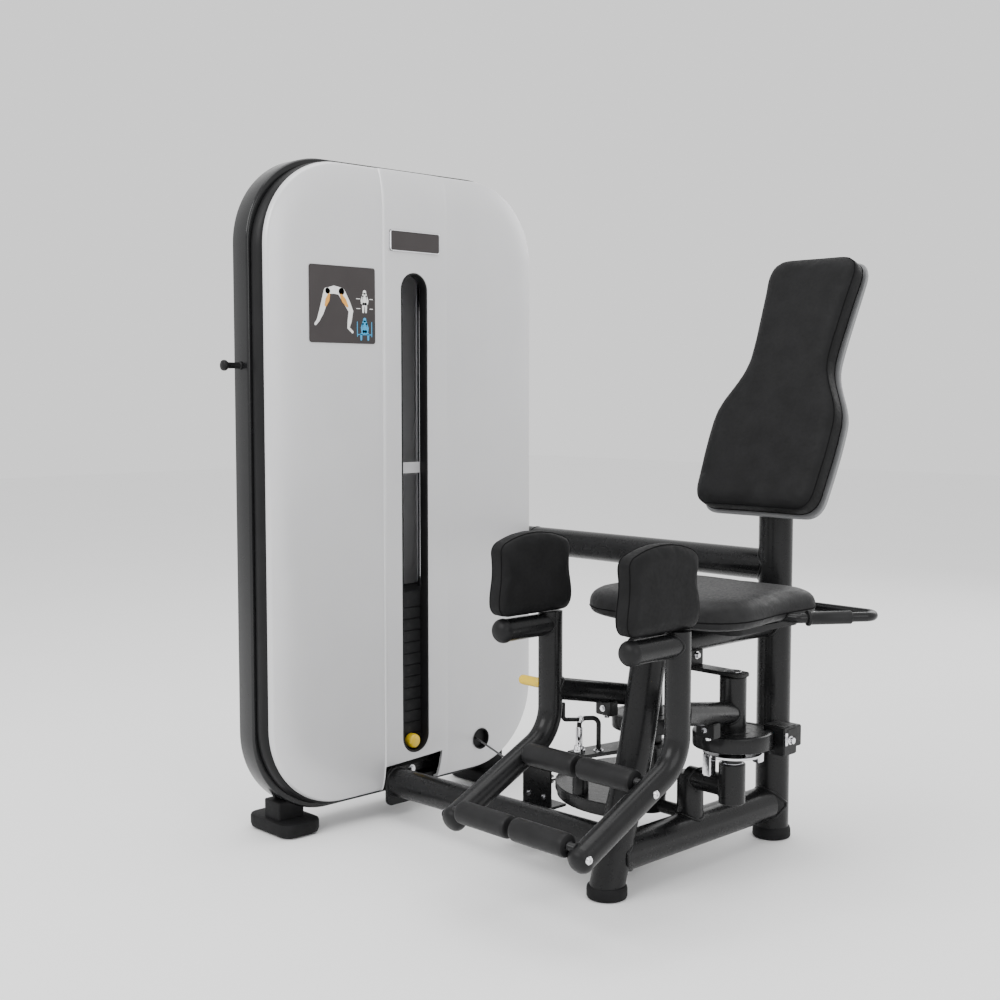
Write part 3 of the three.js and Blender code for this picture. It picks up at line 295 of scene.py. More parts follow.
def rounded_rect(left, right, bottom, top, radius, segments=20):
    corners = [(right - radius, bottom + radius, -90), (right - radius, top - radius, 0),
            (left + radius, top - radius, 90), (left + radius, bottom + radius, 180)]
    return [(x + radius * math.cos(math.radians(a + 90 * k / segments)),
            y + radius * math.sin(math.radians(a + 90 * k / segments)))
            for x, y, a in corners for k in range(segments + 1)]


# Outlines drawn in (y, z) and raised along x.
ACROSS_X = Matrix(((0, 0, 1, 0), (1, 0, 0, 0), (0, 1, 0, 0), (0, 0, 0, 1)))


def loft(bm, rings, matrix=Matrix.Identity(4), caps=True, closed_loop=False):
    """Rings are (outline, height) with one point count."""
    made = [[bm.verts.new(matrix @ V(x, y, h)) for x, y in outline] for outline, h in rings]
    rings_to_faces(bm, made, closed_loop)
    if caps and not closed_loop:
        bm.faces.new(made[0])
        bm.faces.new(made[-1])


def weld(bm, at, main_axis, branch, main_radius, branch_radius, bead=3.2, steps=48):
    """A weld bead where a branch tube meets a round tube; main_radius 0 means a flat face."""
    along, out = Vector(main_axis).normalized(), Vector(branch).normalized()
    along = (along - out * along.dot(out)).normalized()
    across = along.cross(out)
    points = []
    for k in range(steps):
        a = 2 * math.pi * k / steps
        reach = math.sqrt(max(0.0, main_radius ** 2 - (branch_radius * math.sin(a)) ** 2))
        ripple = 0.35 * math.sin(a * 17)
        points.append(Vector(at) + along * branch_radius * math.cos(a) + across * branch_radius * math.sin(a)
                + out * (reach + ripple))
    sweep(bm, points, bead, 10, closed=True)


def bolt(bm, at, axis, radius=8.0, head=6.0, washer=True):
    """A hexagon head on a washer, standing on a face."""
    axis = Vector(axis).normalized()
    base = Vector(at)
    if washer:
        lathe(bm, [(0, 0), (radius * 1.35, 0), (radius * 1.4, 0.6), (radius * 1.35, 1.8), (0, 1.8)], base,
                axis, 32)
        base = base + axis * 1.8
    turn = V(0, 0, 1).rotation_difference(axis).to_matrix().to_4x4()
    hexagon = [(radius * math.cos(math.pi * k / 3), radius * math.sin(math.pi * k / 3)) for k in range(6)]
    solid(bm, hexagon, 0, head, Matrix.Translation(base) @ turn, bevel=0.8, segments=2)


def shade(bm, angle):
    """Smooth faces, with a crease wherever two meet at more than angle degrees."""
    for face in bm.faces:
        face.smooth = True
    for edge in bm.edges:
        edge.smooth = len(edge.link_faces) == 2 and edge.calc_face_angle() < math.radians(angle)


def to_object(name, bm):
    """Uses up a bmesh in millimetres and returns it as a linked object in metres."""
    bmesh.ops.scale(bm, vec=(MM, MM, MM), verts=bm.verts)
    mesh = bpy.data.meshes.new(name)
    bm.to_mesh(mesh)
    bm.free()
    obj = bpy.data.objects.new(name, mesh)
    bpy.context.scene.collection.objects.link(obj)
    return obj


def piece(name, bm, mat, body="frame", replaces=(), angle=38):
    """Turns a bmesh in millimetres into a piece that rides on a CAD body."""
    bmesh.ops.remove_doubles(bm, verts=bm.verts, dist=1e-4)
    bmesh.ops.recalc_face_normals(bm, faces=bm.faces)
    shade(bm, angle)
    obj = to_object(name, bm)
    obj.data.materials.append(mat)
    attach(obj, body)
    if replaces:
        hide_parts(*replaces)
    return obj


def cut(obj, *cutters):
    """Cuts closed bmeshes, in millimetres, out of a piece."""
    for bm in cutters:
        bmesh.ops.recalc_face_normals(bm, faces=bm.faces)
        cutter = to_object("cutter", bm)
        modifier = obj.modifiers.new("cut", "BOOLEAN")
        modifier.operation = "DIFFERENCE"
        modifier.solver = "EXACT"
        modifier.object = cutter
        apply_modifiers(obj)
        bpy.data.objects.remove(cutter)
    return obj


def apply_modifiers(obj):
    bpy.context.view_layer.update()
    graph = bpy.context.evaluated_depsgraph_get()
    mesh = bpy.data.meshes.new_from_object(obj.evaluated_get(graph))
    obj.modifiers.clear()
    obj.data = mesh


def sharpen(obj, angle=30):
    """Smooth faces with sharp creases, after a cut."""
    bm = bmesh.new()
    bm.from_mesh(obj.data)
    shade(bm, angle)
    bm.to_mesh(obj.data)
    bm.free()


def start():
    return bmesh.new()


# ---------------------------------------------------------------- camera, floor and light
def camera_and_stage():
    camera = bpy.data.objects.new("camera", bpy.data.cameras.new("camera"))
    camera.data.lens = 50
    camera.data.sensor_width = 36
    camera.data.clip_end = 60
    camera.location = (1.800, -2.018, 1.000)
    camera.rotation_euler = (math.radians(85.6), 0, math.radians(46.2))
    bpy.context.scene.collection.objects.link(camera)
    bpy.context.scene.camera = camera

    bm = start()
    half = 14000
    bm.faces.new([bm.verts.new(V(x * half, y * half, -0.4)) for x, y in ((-1, -1), (1, -1), (1, 1), (-1, 1))])
    floor = to_object("floor", bm)
    floor.data.materials.append(material("floor_pale", (0.95, 0.95, 0.95), 0.8, vary=0.006, vary_scale=2))

    world = bpy.data.worlds.new("studio")
    bpy.context.scene.world = world
    world.use_nodes = True
    background = world.node_tree.nodes["Background"]
    socket(background, "Color", (1.0, 1.0, 1.0, 1))
    socket(background, "Strength", 1.15)

    def area(name, location, target, size, power):
        light = bpy.data.objects.new(name, bpy.data.lights.new(name, "AREA"))
        light.data.shape = "RECTANGLE"
        light.data.size, light.data.size_y = size
        light.data.energy = power
        light.location = location
        light.rotation_euler = (Vector(target) - Vector(location)).to_track_quat("-Z", "Y").to_euler()
        bpy.context.scene.collection.objects.link(light)

    area("key", (-0.6, -3.6, 3.4), (-0.4, 0.1, 0.7), (3.0, 2.2), 110)
    area("fill", (3.6, -0.6, 2.2), (-0.2, 0.2, 0.6), (2.4, 2.4), 45)
    area("top", (-0.3, 0.2, 4.2), (-0.3, 0.2, 0.0), (3.4, 3.0), 75)
    area("back", (-0.5, 4.2, 2.6), (-0.3, 0.3, 0.8), (3.2, 1.8), 45)


# ---------------------------------------------------------------- tower
def tower_outline(inset, top_inset=None, corner=COVER_CORNER, segments=26):
    top_inset = inset if top_inset is None else top_inset
    return rounded_rect(TOWER_Y - 420 + inset, TOWER_Y + 420 - inset, 44 + inset, 1524 - top_inset,
            corner - inset, segments)


def tower_ring(name, section, mat, replaces, corner=COVER_CORNER):
    """A ring round the tower; the section is (inset, x) points in a closed loop."""
    bm = start()
    loft(bm, [(tower_outline(inset, corner=corner), x) for inset, x in section], ACROSS_X, closed_loop=True)
    return piece(name, bm, mat, replaces=replaces, angle=30)


def soft_section(outer, inner, back, front, soft, steps=4):
    """A rectangular section with rounded corners, as (inset, x) points."""
    return rounded_rect(outer, inner, back, front, soft, steps)


def crown(d):
    """How far a cover has risen, from 0 to 1, at d from its rim: a quick lip, then a slow swell."""
    lip = 0.42 * (1 - (1 - min(d / 4.5, 1)) ** 2)
    return lip + 0.58 * (1 - (1 - min(d / 96, 1)) ** 2.6)


def cover(name, mat, rim, bulge, inset, top_inset, side, replaces):
    bm = start()
    fall = [0, 0.6, 1.6, 3.2, 5.5, 8.5, 12, 17, 23, 30, 38, 47, 58, 70, 83, 96]
    outer = [(tower_outline(inset + d, top_inset + d), rim + side * crown(d) * bulge) for d in fall]
    inner = [(tower_outline(inset + d + 4, top_inset + d + 4),
            rim + side * (crown(d) * bulge - 4)) for d in fall]
    inner[0] = (tower_outline(inset + 4, top_inset + 4), rim)
    rings = [[bm.verts.new(ACROSS_X @ V(x, y, h)) for x, y in outline] for outline, h in outer[::-1] + inner]
    rings_to_faces(bm, rings)
    bm.faces.new(rings[0])
    bm.faces.new(rings[-1])
    return piece(name, bm, mat, replaces=replaces, angle=32)


def slot_outline(grow, segments=14):
    return rounded_rect(STACK_Y - 40.5 - grow, STACK_Y + 40.5 + grow, 144 - grow, 1279 + grow, 40 + grow,
            segments)


def shroud_cutters():
    slot, hole, notch = start(), start(), start()
    loft(slot, [(slot_outline(0), -745), (slot_outline(0), -680)], ACROSS_X)
    lathe(hole, [(25, 0), (25, 70)], (-750, HOLE_Y, HOLE_Z), (1, 0, 0), 48)
    loft(notch, [(NOTCH, -745), (NOTCH, -680)], ACROSS_X)
    return slot, hole, notch


def band_strip():
    """The raised middle band of the front cover: a hard step on one side, a soft slope on the other."""
    bm = start()
    across = [(6.5, 0.0), (8.0, 2.6), (10.5, 3.7), (15, 4.0), (60, 4.1), (110, 4.1), (150, 3.7), (175, 2.7),
            (192, 1.3), (203, 0.25), (206, -0.4)]
    zs = [63.5, 65, 68, 72, 78, 86, 96, 110, 124, 130, 140, 170, 240, 400, 700, 1000, 1279, 1330, 1400,
            1420, 1440,
          1460, 1478, 1491, 1500, 1506, 1510.5, 1513]

    def dome(z):
        return SHROUD_RIM + crown(min(z - 63, 1514 - z)) * COVER_BULGE

    rows = [[(dome(z) + h, y, z) for y, h in across] for z in zs]
    front = [[bm.verts.new(p) for p in row] for row in rows]
    back = [[bm.verts.new((x - h - 1.6, y, z)) for (x, y, z), (_, h) in zip(row, across)] for row in rows]
    for a, b, c, d in zip(front, front[1:], back, back[1:]):
        for i in range(len(across) - 1):
            bm.faces.new((a[i], a[i + 1], b[i + 1], b[i]))
            bm.faces.new((c[i], d[i], d[i + 1], c[i + 1]))
        bm.faces.new((a[0], b[0], d[0], c[0]))
        bm.faces.new((a[-1], c[-1], d[-1], b[-1]))
    for top, low in ((front[0], back[0]), (front[-1], back[-1])):
        for i in range(len(across) - 1):
            bm.faces.new((top[i], low[i], low[i + 1], top[i + 1]))
    return piece("shroud_band", bm, SILVER, angle=24)


def tower():
    tower_ring("tower_band", soft_section(0, 36, HOOP_BACK, HOOP_FRONT, 5), HOOP_PAINT, ["tower_hoop"],
            HOOP_CORNER)
    front_trim = [(32, -758.7), (12, -758.7), (9, -756), (8, -750), (8.5, -743), (10.5, -736), (14, -730.5),
            (18, -727.8), (32, -727.8)]
    tower_ring("trim_front", front_trim, PLASTIC, ["trim_ring_front"])
    tower_ring("trim_rear", soft_section(18, 34, REAR_TRIM_X, -816.3, 4), PLASTIC, ["trim_ring_rear"])

    face = cover("shroud_front", SILVER, SHROUD_RIM, COVER_BULGE, 19, 10, 1, ["front_shroud"])
    cut(face, *shroud_cutters())
    sharpen(face, 32)
    band = band_strip()
    cut(band, *shroud_cutters())
    sharpen(band, 24)
    cover("shroud_rear", SILVER, REAR_RIM, 18, 26, 26, -1, ["rear_shroud"])

    bm = start()
    section = [(-0.3, -720), (-0.3, -697.8), (-1.2, -696.2), (-2.8, -695.6), (-4.4, -696.4), (-5, -698),
            (-5, -720)]
    loft(bm, [(slot_outline(grow), x) for grow, x in section], ACROSS_X, closed_loop=True)
    piece("slot_edge", bm, PLASTIC, replaces=["slot_liner"])

    bm = start()
    ring = [(23.6, -9), (24.8, -9), (24.8, 0.6), (26.2, 0.8), (26.4, 1.8), (25, 2.2), (23.6, 1.4), (23.6, -9)]
    lathe(bm, ring, (FACE_X, HOLE_Y, HOLE_Z), (1, 0, 0), 48)
    piece("cable_hole_edge", bm, PLASTIC)

    bm = start()
    solid(bm, rounded_rect(24.5, 175.5, 1325.5, 1374.5, 6, 6), -696.1, -693.2, ACROSS_X, bevel=0.6)
    piece("badge_blank", bm, GREY, replaces=["badge_plate"])
    bm = start()
    edge = [(-1.6, -696.1), (-1.6, -692.6), (-0.6, -691.9), (0.8, -692.6), (1.2, -696.1)]
    loft(bm, [(rounded_rect(25.5 - g, 174.5 + g, 1326.5 - g, 1373.5 + g, 6 + g, 6), x) for g, x in edge],
            ACROSS_X,
         closed_loop=True)
    piece("badge_rim", bm, CHROME)
    placard()

    bm = start()
    profile = [(0, 0), (9, 0), (9, 3), (7, 5), (6.6, 18), (7, 33), (9.5, 36.5), (11.6, 39), (12, 42.5),
            (11.2, 45.8),
            (8.5, 47.6), (0, 48)]
    lathe(bm, profile, (TOWER_X, -320.3, 1060), (0, -1, 0), 40)
    piece("peg", bm, PLASTIC, replaces=["towel_peg"])

    bm = start()
    box(bm, (-722.2, 54, 170), (-720.3, 76, 1255), 0.4)
    box(bm, (-722.2, 75, 811), (-720.3, 142.5, 837), 0.4)
    piece("slot_guide_strip", bm, GUIDE_GREY, replaces=["slot_guide"])

    for name, side in (("front", -1), ("rear", 1)):
        bm = start()
        y = TOWER_Y + side * 310.5
        foot = [(12, 0), (3, 4.5), (0, 12), (0, 29), (1.5, 32.6), (5, 34)]
        loft(bm, [(rounded_rect(-882 + d, -718 - d, y - 53 + d, y + 53 - d, 32 - d, 10), z) for d, z in foot])
        y = TOWER_Y + side * 316
        solid(bm, rounded_rect(-823.5, -763.5, y - 34, y + 34, 4, 5), 33, 76, bevel=1.5)
        piece(f"tower_foot_{name}_pad", bm, RUBBER, replaces=[f"tower_foot_{name}"])


def stroke(bm, points, x, thick=0.25):
    """A tapered limb on the placard: (y, z, half width) points, joined with round ends."""
    outline_left, outline_right = [], []
    for i, (y, z, w) in enumerate(points):
        a, b = points[max(i - 1, 0)], points[min(i + 1, len(points) - 1)]
        d = Vector((b[0] - a[0], b[1] - a[1])).normalized()
        outline_left.append((y - d.y * w, z + d.x * w))
        outline_right.append((y + d.y * w, z - d.x * w))
    solid(bm, outline_left + outline_right[::-1], x, x + thick, ACROSS_X, bevel=0)
    for y, z, w in (points[0], points[-1]):
        disc = [(y + w * math.cos(k * math.pi / 10), z + w * math.sin(k * math.pi / 10)) for k in range(20)]
        solid(bm, disc, x, x + thick + 0.01, ACROSS_X, bevel=0)


def placard():
    """The exercise placard: a generic pair of spread legs and two small seated figures."""
    bm = start()
    solid(bm, rounded_rect(-200, -16, 1111.5, 1282.5, 6, 6), -700.1, -698.2, ACROSS_X, bevel=0.6)
    piece("placard_plate", bm, GREY, replaces=["exercise_placard"])
    x = -698.3
    white, orange, blue = start(), start(), start()
    stroke(white, [(-150, 1226, 7), (-133, 1229, 9), (-112, 1226, 8)], x)
    stroke(white, [(-152, 1224, 9), (-160, 1200, 8), (-168, 1178, 6.5), (-177, 1160, 4), (-184, 1152, 3)], x)
    stroke(white, [(-112, 1224, 10), (-97, 1202, 8.5), (-86, 1183, 6.5), (-90, 1160, 5.5), (-93, 1146, 3.4),
            (-82, 1137, 3)], x)
    stroke(orange, [(-147, 1217, 3), (-151, 1206, 5.5), (-156, 1194, 3)], x + 0.3)
    stroke(orange, [(-113, 1217, 3.5), (-105, 1206, 6), (-96, 1194, 3)], x + 0.3)

    def figure(bm, y, z, spread):
        disc = [(y + 4.6 * math.cos(k * math.pi / 12),
                z + 20 + 5.2 * math.sin(k * math.pi / 12)) for k in range(24)]
        solid(bm, disc, x, x + 0.26, ACROSS_X, bevel=0)
        stroke(bm, [(y, z + 12, 7), (y, z + 3, 6), (y, z - 5, 6.5)], x)
        for side in (-1, 1):
            stroke(bm, [(y + side * 5, z + 11, 2.4), (y + side * 9, z + 2, 2.2), (y + side * 8, z - 5, 2)], x)
            foot = y + side * spread
            stroke(bm, [(y + side * 3, z - 6, 3.4), (foot, z - 13, 3), (foot, z - 24, 2.4)], x)

    figure(white, -47, 1207, 4)
    figure(blue, -47, 1145, 10)
    for z in (1190, 1212):
        stroke(white, [(-70, z, 0.8), (-60, z, 0.8)], x)
        stroke(white, [(-32, z, 0.8), (-24, z, 0.8)], x)
    for y in (-68, -27):
        stroke(blue, [(y, 1128, 1), (y, 1160, 1)], x)
    stroke(blue, [(-68, 1132, 0.9), (-27, 1132, 0.9)], x)
    piece("placard_print_white", white, PRINT_WHITE)
    piece("placard_print_orange", orange, PRINT_ORANGE)
    piece("placard_print_blue", blue, PRINT_BLUE)


def works():
    """Weight stack, rods, cable and pulleys."""
    bm = start()
    for i in range(13):
        low = 156 + PLATE_PITCH * i
        high = low + PLATE_PITCH if i < 12 else 528.0
        solid(bm, [(-836, -26.5), (-722.6, -26.5), (-722.6, 223.5), (-836, 223.5)], low + 0.5, high - 0.4,
                bevel=1.6,
              segments=2)
    piece("stack_plates", bm, IRON, "stack", ["weight_stack"])
    # Painted shade: the selector-pin holes are thin near-black discs on the plate faces, standing in for the
    # shadow inside each hole.
    hole_shade = start()
    for i in range(13):
        z = 156 + PLATE_PITCH * (i + 0.5)
        lathe(hole_shade, [(0, -0.5), (5, -0.5), (5, 0.15), (0, 0.15)], (-722.6, STACK_Y, z), (1, 0, 0), 20)
    piece("plate_hole_shade", hole_shade, PAINTED_SHADE, "stack")

    bm = start()
    lathe(bm, [(4, 186), (4, 599), (5, 600), (10, 600), (11, 598), (11, 543), (19, 542.6), (20, 541),
            (20, 529.5),
            (19, 528.4), (11, 528.4), (11, 159)], (TOWER_X, STACK_Y, 0))
    piece("stem_rod", bm, STEEL, "stack", ["selector_stem"])
    bm = start()
    lathe(bm, [(0, -78), (3.6, -77), (4.5, -75), (4.5, 0), (12.5, 0), (14.6, 1.2), (15.4, 4), (16.6, 5),
            (17, 8),
            (16.9, 16), (16, 20.5), (13.4, 23.6), (9, 24.8), (0, 25)], (-721.5, STACK_Y, 169.9), (1, 0, 0),
            56)
    piece("pin_knob", bm, YELLOW, "pin", ["selector_pin"])
    bm = start()
    for y in (4.5, 192.5):
        rod(bm, (TOWER_X, y, 87), (TOWER_X, y, 1329.8), 9.5)
    piece("rods_chrome", bm, CHROME, replaces=["guide_rod_front", "guide_rod_rear"])

    for node, centre, axis, line, half in (
            ("top_pulley_front", (TOWER_X, 153.5, 1415), (1, 0, 0), 55, 8),
            ("top_pulley_rear", (TOWER_X, 283, 1415), (1, 0, 0), 55, 8),
            ("guide_pulley", GUIDE, (0, 0, 1), 18.8, 7),
            ("low_pulley", LOW_WHEEL, LOW_AXIS, 36, 7)):
        bore = 5.5 if node == "guide_pulley" else 8.5
        groove, outer = line - 3.1, line + 1.9
        bm = start()
        side = [(bore, -half), (bore + 4, -half)]
        if line > 30:
            side += [(bore + 5.5, 3 - half), (outer - 8.5, 3 - half), (outer - 7, -half)]
        side += [(outer - 1, -half), (outer, -half + 1), (groove, -3.0), (groove - 0.2, 0)]
        mirrored = [(r, -h) for r, h in side[::-1][1:]]
        lathe(bm, side + mirrored + [side[0]], centre, axis, 64)
        piece(f"{node}_wheel", bm, GREY, node, [node])

    bm = start()
    sweep(bm, cable_route(), 2.5, 16, soft=0)
    piece("cable_line", bm, CABLE, replaces=["lift_cable"])


# Cable geometry, from the same numbers as the CAD.
CAM_LINE = 202.8
GUIDE = (-PIVOT_X - CAM_LINE - 18.8, 165.0, 140.0)
RUN = Vector((GUIDE[0] - TOWER_X, GUIDE[1] - 338.0, 0))
HEADING = math.atan2(RUN.y, RUN.x) - math.asin(18.8 / RUN.length)
OUT = V(math.cos(HEADING), math.sin(HEADING), 0)
LOW_WHEEL = tuple(V(TOWER_X, 338, 176) + OUT * 36)
LOW_AXIS = (math.sin(HEADING), -math.cos(HEADING), 0)


def cable_route():
    up, rearward, outward = V(0, 0, 1), V(0, 1, 0), V(1, 0, 0)
    points = [V(TOWER_X, STACK_Y, 580)]

    def around(centre, radius, first, second, begin, end, steps=24):
        for k in range(steps + 1):
            a = math.radians(begin + (end - begin) * k / steps)
            points.append(Vector(centre) + first * radius * math.cos(a) + second * radius * math.sin(a))

    around((TOWER_X, 153.5, 1415), 55, rearward, up, 180, 90)
    around((TOWER_X, 283, 1415), 55, rearward, up, 90, 0)
    around(LOW_WHEEL, 36, OUT, up, 180, 270)
    around(GUIDE, 18.8, outward, rearward, math.degrees(HEADING) - 90, 0)
    around((-PIVOT_X, PIVOT_Y, 140), CAM_LINE, outward, rearward, 180, 126, 36)
    return points


# ---------------------------------------------------------------- frame
LEG = [(0, 0, 12), (0, 43, 148), (0, 84, 272), (0, 121, 443), (0, 125, 468)]


def smooth_line(points, per=8):
    """A Catmull-Rom line through points."""
    pts = [Vector(p) for p in points]
    pts = [pts[0] * 2 - pts[1]] + pts + [pts[-1] * 2 - pts[-2]]
    line = []
    for a, b, c, d in zip(pts, pts[1:], pts[2:], pts[3:]):
        for k in range(per):
            t = k / per
            line.append(0.5 * ((2 * b) + (c - a) * t + (2 * a - 5 * b + 4 * c - d) * t * t
                    + (3 * b - a - 3 * c + d) * t ** 3))
    return line + [pts[-2]]


def welded_frame():
    bm = start()
    sweep(bm, smooth_line(LEG), LEG_R, 56, soft=0)
    piece("leg_tube", bm, PAINT, replaces=["front_leg"])
    bm = start()
    rod(bm, (0, 24, BASE_Z), (0, POST_Y - 30, BASE_Z), BASE_R, sides=56, soft=0)
    piece("base_tube", bm, PAINT, replaces=["base_beam"])
    bm = start()
    rod(bm, (0, 84, RAIL_Z), (0, POST_Y - 20, RAIL_Z), RAIL_R, sides=48, soft=2)
    piece("rail_tube", bm, PAINT, replaces=["seat_rail"])

    bm = start()
    rod(bm, (0, POST_Y, 24), (0, POST_Y, 780), POST_R, sides=56, soft=0)
    # Above the seat the post runs up to the sloping back of the pad's shell.
    top, sides = [], 56
    for k in range(sides):
        a = 2 * math.pi * k / sides
        y = POST_Y + 37.4 * math.sin(a)
        z = BACK_Z + (y - BACK_Y - SHELL_DEPTH / math.cos(TILT)) / math.tan(TILT)
        top.append((37.4 * math.cos(a), y, z))
    low = [bm.verts.new((x, y, 700)) for x, y, _ in top]
    high = [bm.verts.new(p) for p in top]
    rings_to_faces(bm, [low, high])
    bm.faces.new(low)
    bm.faces.new(high)
    box(bm, (20, 480, 215), (60, 585, 262), 2)
    piece("post_tube", bm, PAINT, replaces=["rear_post"])

    bm = start()
    rod(bm, (-800, POST_Y, UPPER_Z), (-20, POST_Y, UPPER_Z), UPPER_R, sides=56, soft=0)
    solid(bm, [(-811.5, 545), (-749.5, 545), (-749.5, 705), (-811.5, 705)], -532, -520.3,
          Matrix(((1, 0, 0, 0), (0, 0, -1, 0), (0, 1, 0, 0), (0, 0, 0, 1))), bevel=2)
    piece("upper_tube", bm, PAINT, replaces=["upper_beam"])

    bm = start()
    rod(bm, (-701, 44, 82), (-20, 44, 93.7), 34, sides=56, soft=0)
    solid(bm, rounded_rect(11, 100, 28, 118, 16, 6), -708, -699, ACROSS_X, bevel=1.6)
    rod(bm, (-747, 44, 91.3), (-704, 44, 91.3), 10)
    piece("low_tube", bm, PAINT, replaces=["low_beam"])

    bm = start()
    rod(bm, (0, 265, 84), (0, 265, 203), 28, sides=48)
    rod(bm, (0, PIVOT_Y, 194), (PIVOT_X, PIVOT_Y, 194), 23, sides=40, soft=0)
    lathe(bm, [(0, 161), (25.6, 161), (27.5, 163), (27.5, 243), (25.8, 245), (21.5, 245), (21.5, 263),
            (0, 263)],
          (PIVOT_X, PIVOT_Y, 0))
    rod(bm, (0, PIVOT_Y, 114), (-PIVOT_X, PIVOT_Y, 114), 14, soft=0)
    lathe(bm, [(0, 100), (34, 100), (36, 102), (36, 131.6), (34.4, 133.4), (0, 133.4)],
            (-PIVOT_X, PIVOT_Y, 0))
    piece("pivot_stand", bm, PAINT, replaces=["short_post"])

    bm = start()
    solid(bm, rounded_rect(-140, 140, PIVOT_Y - 20, PIVOT_Y + 20, 10, 8), 425.6, 434, bevel=1.2)
    box(bm, (-16, PIVOT_Y - 22, 433), (16, PIVOT_Y + 22, 466), 1.4)
    piece("bearing_bar", bm, PAINT, replaces=["bearing_plate"])

    bm = start()
    for x, low in ((-PIVOT_X, 106.3), (PIVOT_X, 169.3)):
        rod(bm, (x, PIVOT_Y, low), (x, PIVOT_Y, 434.2), 14.5)
        lathe(bm, [(0, 434), (17, 434), (17.6, 434.6), (17, 435.4), (0, 435.6)], (x, PIVOT_Y, 0))
    piece("pivot_pins", bm, CHROME, replaces=["pivot_shaft_left", "pivot_shaft_right"])

    bm = start()
    weld(bm, (0, 24, BASE_Z), (0, 0.3, 1), (0, 1, 0), LEG_R, BASE_R)
    weld(bm, (0, POST_Y, BASE_Z), (0, 0, 1), (0, -1, 0), POST_R, BASE_R)
    weld(bm, (0, POST_Y, RAIL_Z), (0, 0, 1), (0, -1, 0), POST_R, RAIL_R)
    weld(bm, (0, POST_Y, UPPER_Z), (0, 0, 1), (-1, 0, 0), POST_R, UPPER_R)
    weld(bm, (0, 265, BASE_Z), (0, 1, 0), (0, 0, 1), BASE_R, 28)
    weld(bm, (0, PIVOT_Y, 194), (0, 0, 1), (1, 0, 0), 28, 23, 2.4)
    weld(bm, (PIVOT_X, PIVOT_Y, 194), (0, 0, 1), (-1, 0, 0), 27.5, 23, 2.4)
    weld(bm, (-699, 44, 82), (0, 0, 1), (1, 0, 0), 0, 34, 2.8)
    weld(bm, (-749.5, POST_Y, UPPER_Z), (0, 0, 1), (1, 0, 0), 0, UPPER_R, 1.5)
    weld(bm, (0, 26, 93.7), (0, 0.3, 1), (-1, 0, 0), LEG_R, 34)
    piece("weld_beads", bm, PAINT)

    bm = start()
    bolt(bm, (-699, 27, 69), (1, 0, 0), 8, 5)
    bolt(bm, (-699, 86, 106), (1, 0, 0), 7, 5)
    for z in (560, 690):
        bolt(bm, (-780.5, 532, z), (0, 1, 0), 7, 5)
    bolt(bm, (60, 500, 239), (1, 0, 0), 9, 7)
    bolt(bm, (16, PIVOT_Y, 455), (1, 0, 0), 6, 5)
    box(bm, (-9, PIVOT_Y - 24.4, 440), (9, PIVOT_Y - 21.6, 458), 1.2)
    piece("frame_bolts", bm, CHROME)

    for name, y, low in (("front", 3, 26), ("rear", POST_Y, 26)):
        bm = start()
        lathe(bm, [(0, 0), (36, 0), (39.5, 1.5), (41, 5), (41, 19), (40, 23.5), (37.5, low - 0.3),
                (0, low - 0.3)]
              if name == "front" else
              [(0, 0), (38, 0), (41.5, 1.5), (43, 5), (42.4, 18), (40.5, 23.5), (38, low - 0.3),
                      (0, low - 0.3)],
              (0, y, 0), sides=56)
        piece(f"{name}_foot_cap", bm, RUBBER, replaces=[f"{name}_foot"])

    bm = start()
    box(bm, (-372, 60, 82), (-288, 190, 88), 1.2)
    box(bm, (-372, 135, 82), (-285, 140, 174), 1.2)
    box(bm, (-372, 135, 169), (-285, 190, 174), 1.2)
    rod(bm, (GUIDE[0], GUIDE[1], 86), (GUIDE[0], GUIDE[1], 171), 5)
    piece("pulley_box", bm, PAINT, replaces=["pulley_guard"])
    bm = start()
    bolt(bm, (GUIDE[0], GUIDE[1], 174), (0, 0, 1), 7, 5)
    bolt(bm, (-306, 135, 110), (0, -1, 0), 5, 4)
    bolt(bm, (-352, 135, 110), (0, -1, 0), 5, 4)
    piece("pulley_box_bolts", bm, CHROME)


# ---------------------------------------------------------------- seat and back
def inflate(obj, pressure, cap, voxel=5.0, frames=20):
    """Remeshes a pad and lets cloth pressure round it, no point moving further than cap."""
    remesh = obj.modifiers.new("remesh", "REMESH")
    remesh.mode = "VOXEL"
    remesh.voxel_size = voxel * MM
    apply_modifiers(obj)
    before = [v.co.copy() for v in obj.data.vertices]
    cloth = obj.modifiers.new("cloth", "CLOTH")
    cloth.settings.use_pressure = True
    cloth.settings.uniform_pressure_force = pressure
    cloth.settings.effector_weights.gravity = 0
    cloth.settings.quality = 5
    cloth.settings.tension_stiffness = 20
    cloth.settings.bending_stiffness = 2
    cloth.collision_settings.use_collision = False
    scene = bpy.context.scene
    for number in range(1, frames + 1):
        scene.frame_set(number)
    apply_modifiers(obj)
    scene.frame_set(1)
    for vertex, start_at in zip(obj.data.vertices, before):
        move = vertex.co - start_at
        if move.length > cap * MM:
            vertex.co = start_at + move.normalized() * cap * MM
    smooth = obj.modifiers.new("smooth", "SMOOTH")
    smooth.factor = 0.5
    smooth.iterations = 4
    subdivide = obj.modifiers.new("subdivide", "SUBSURF")
    subdivide.levels = subdivide.render_levels = 1
    apply_modifiers(obj)
    for polygon in obj.data.polygons:
        polygon.use_smooth = True


def bezier(*points, steps=10):
    """Points along a curve with three or four control points, without its start."""
    out = []
    for k in range(1, steps + 1):
        t = k / steps
        if len(points) == 4:
            weights = ((1 - t) ** 3, 3 * t * (1 - t) ** 2, 3 * t * t * (1 - t), t ** 3)
        else:
            weights = ((1 - t) ** 2, 2 * t * (1 - t), t * t)
        out.append(tuple(sum(w * p[axis] for w, p in zip(weights, points)) for axis in (0, 1)))
    return out


def both_halves(half):
    """The closed outline made of a half and its reflection, which shares the first and last points."""
    return half + [(-x, y) for x, y in half[-2:0:-1]]


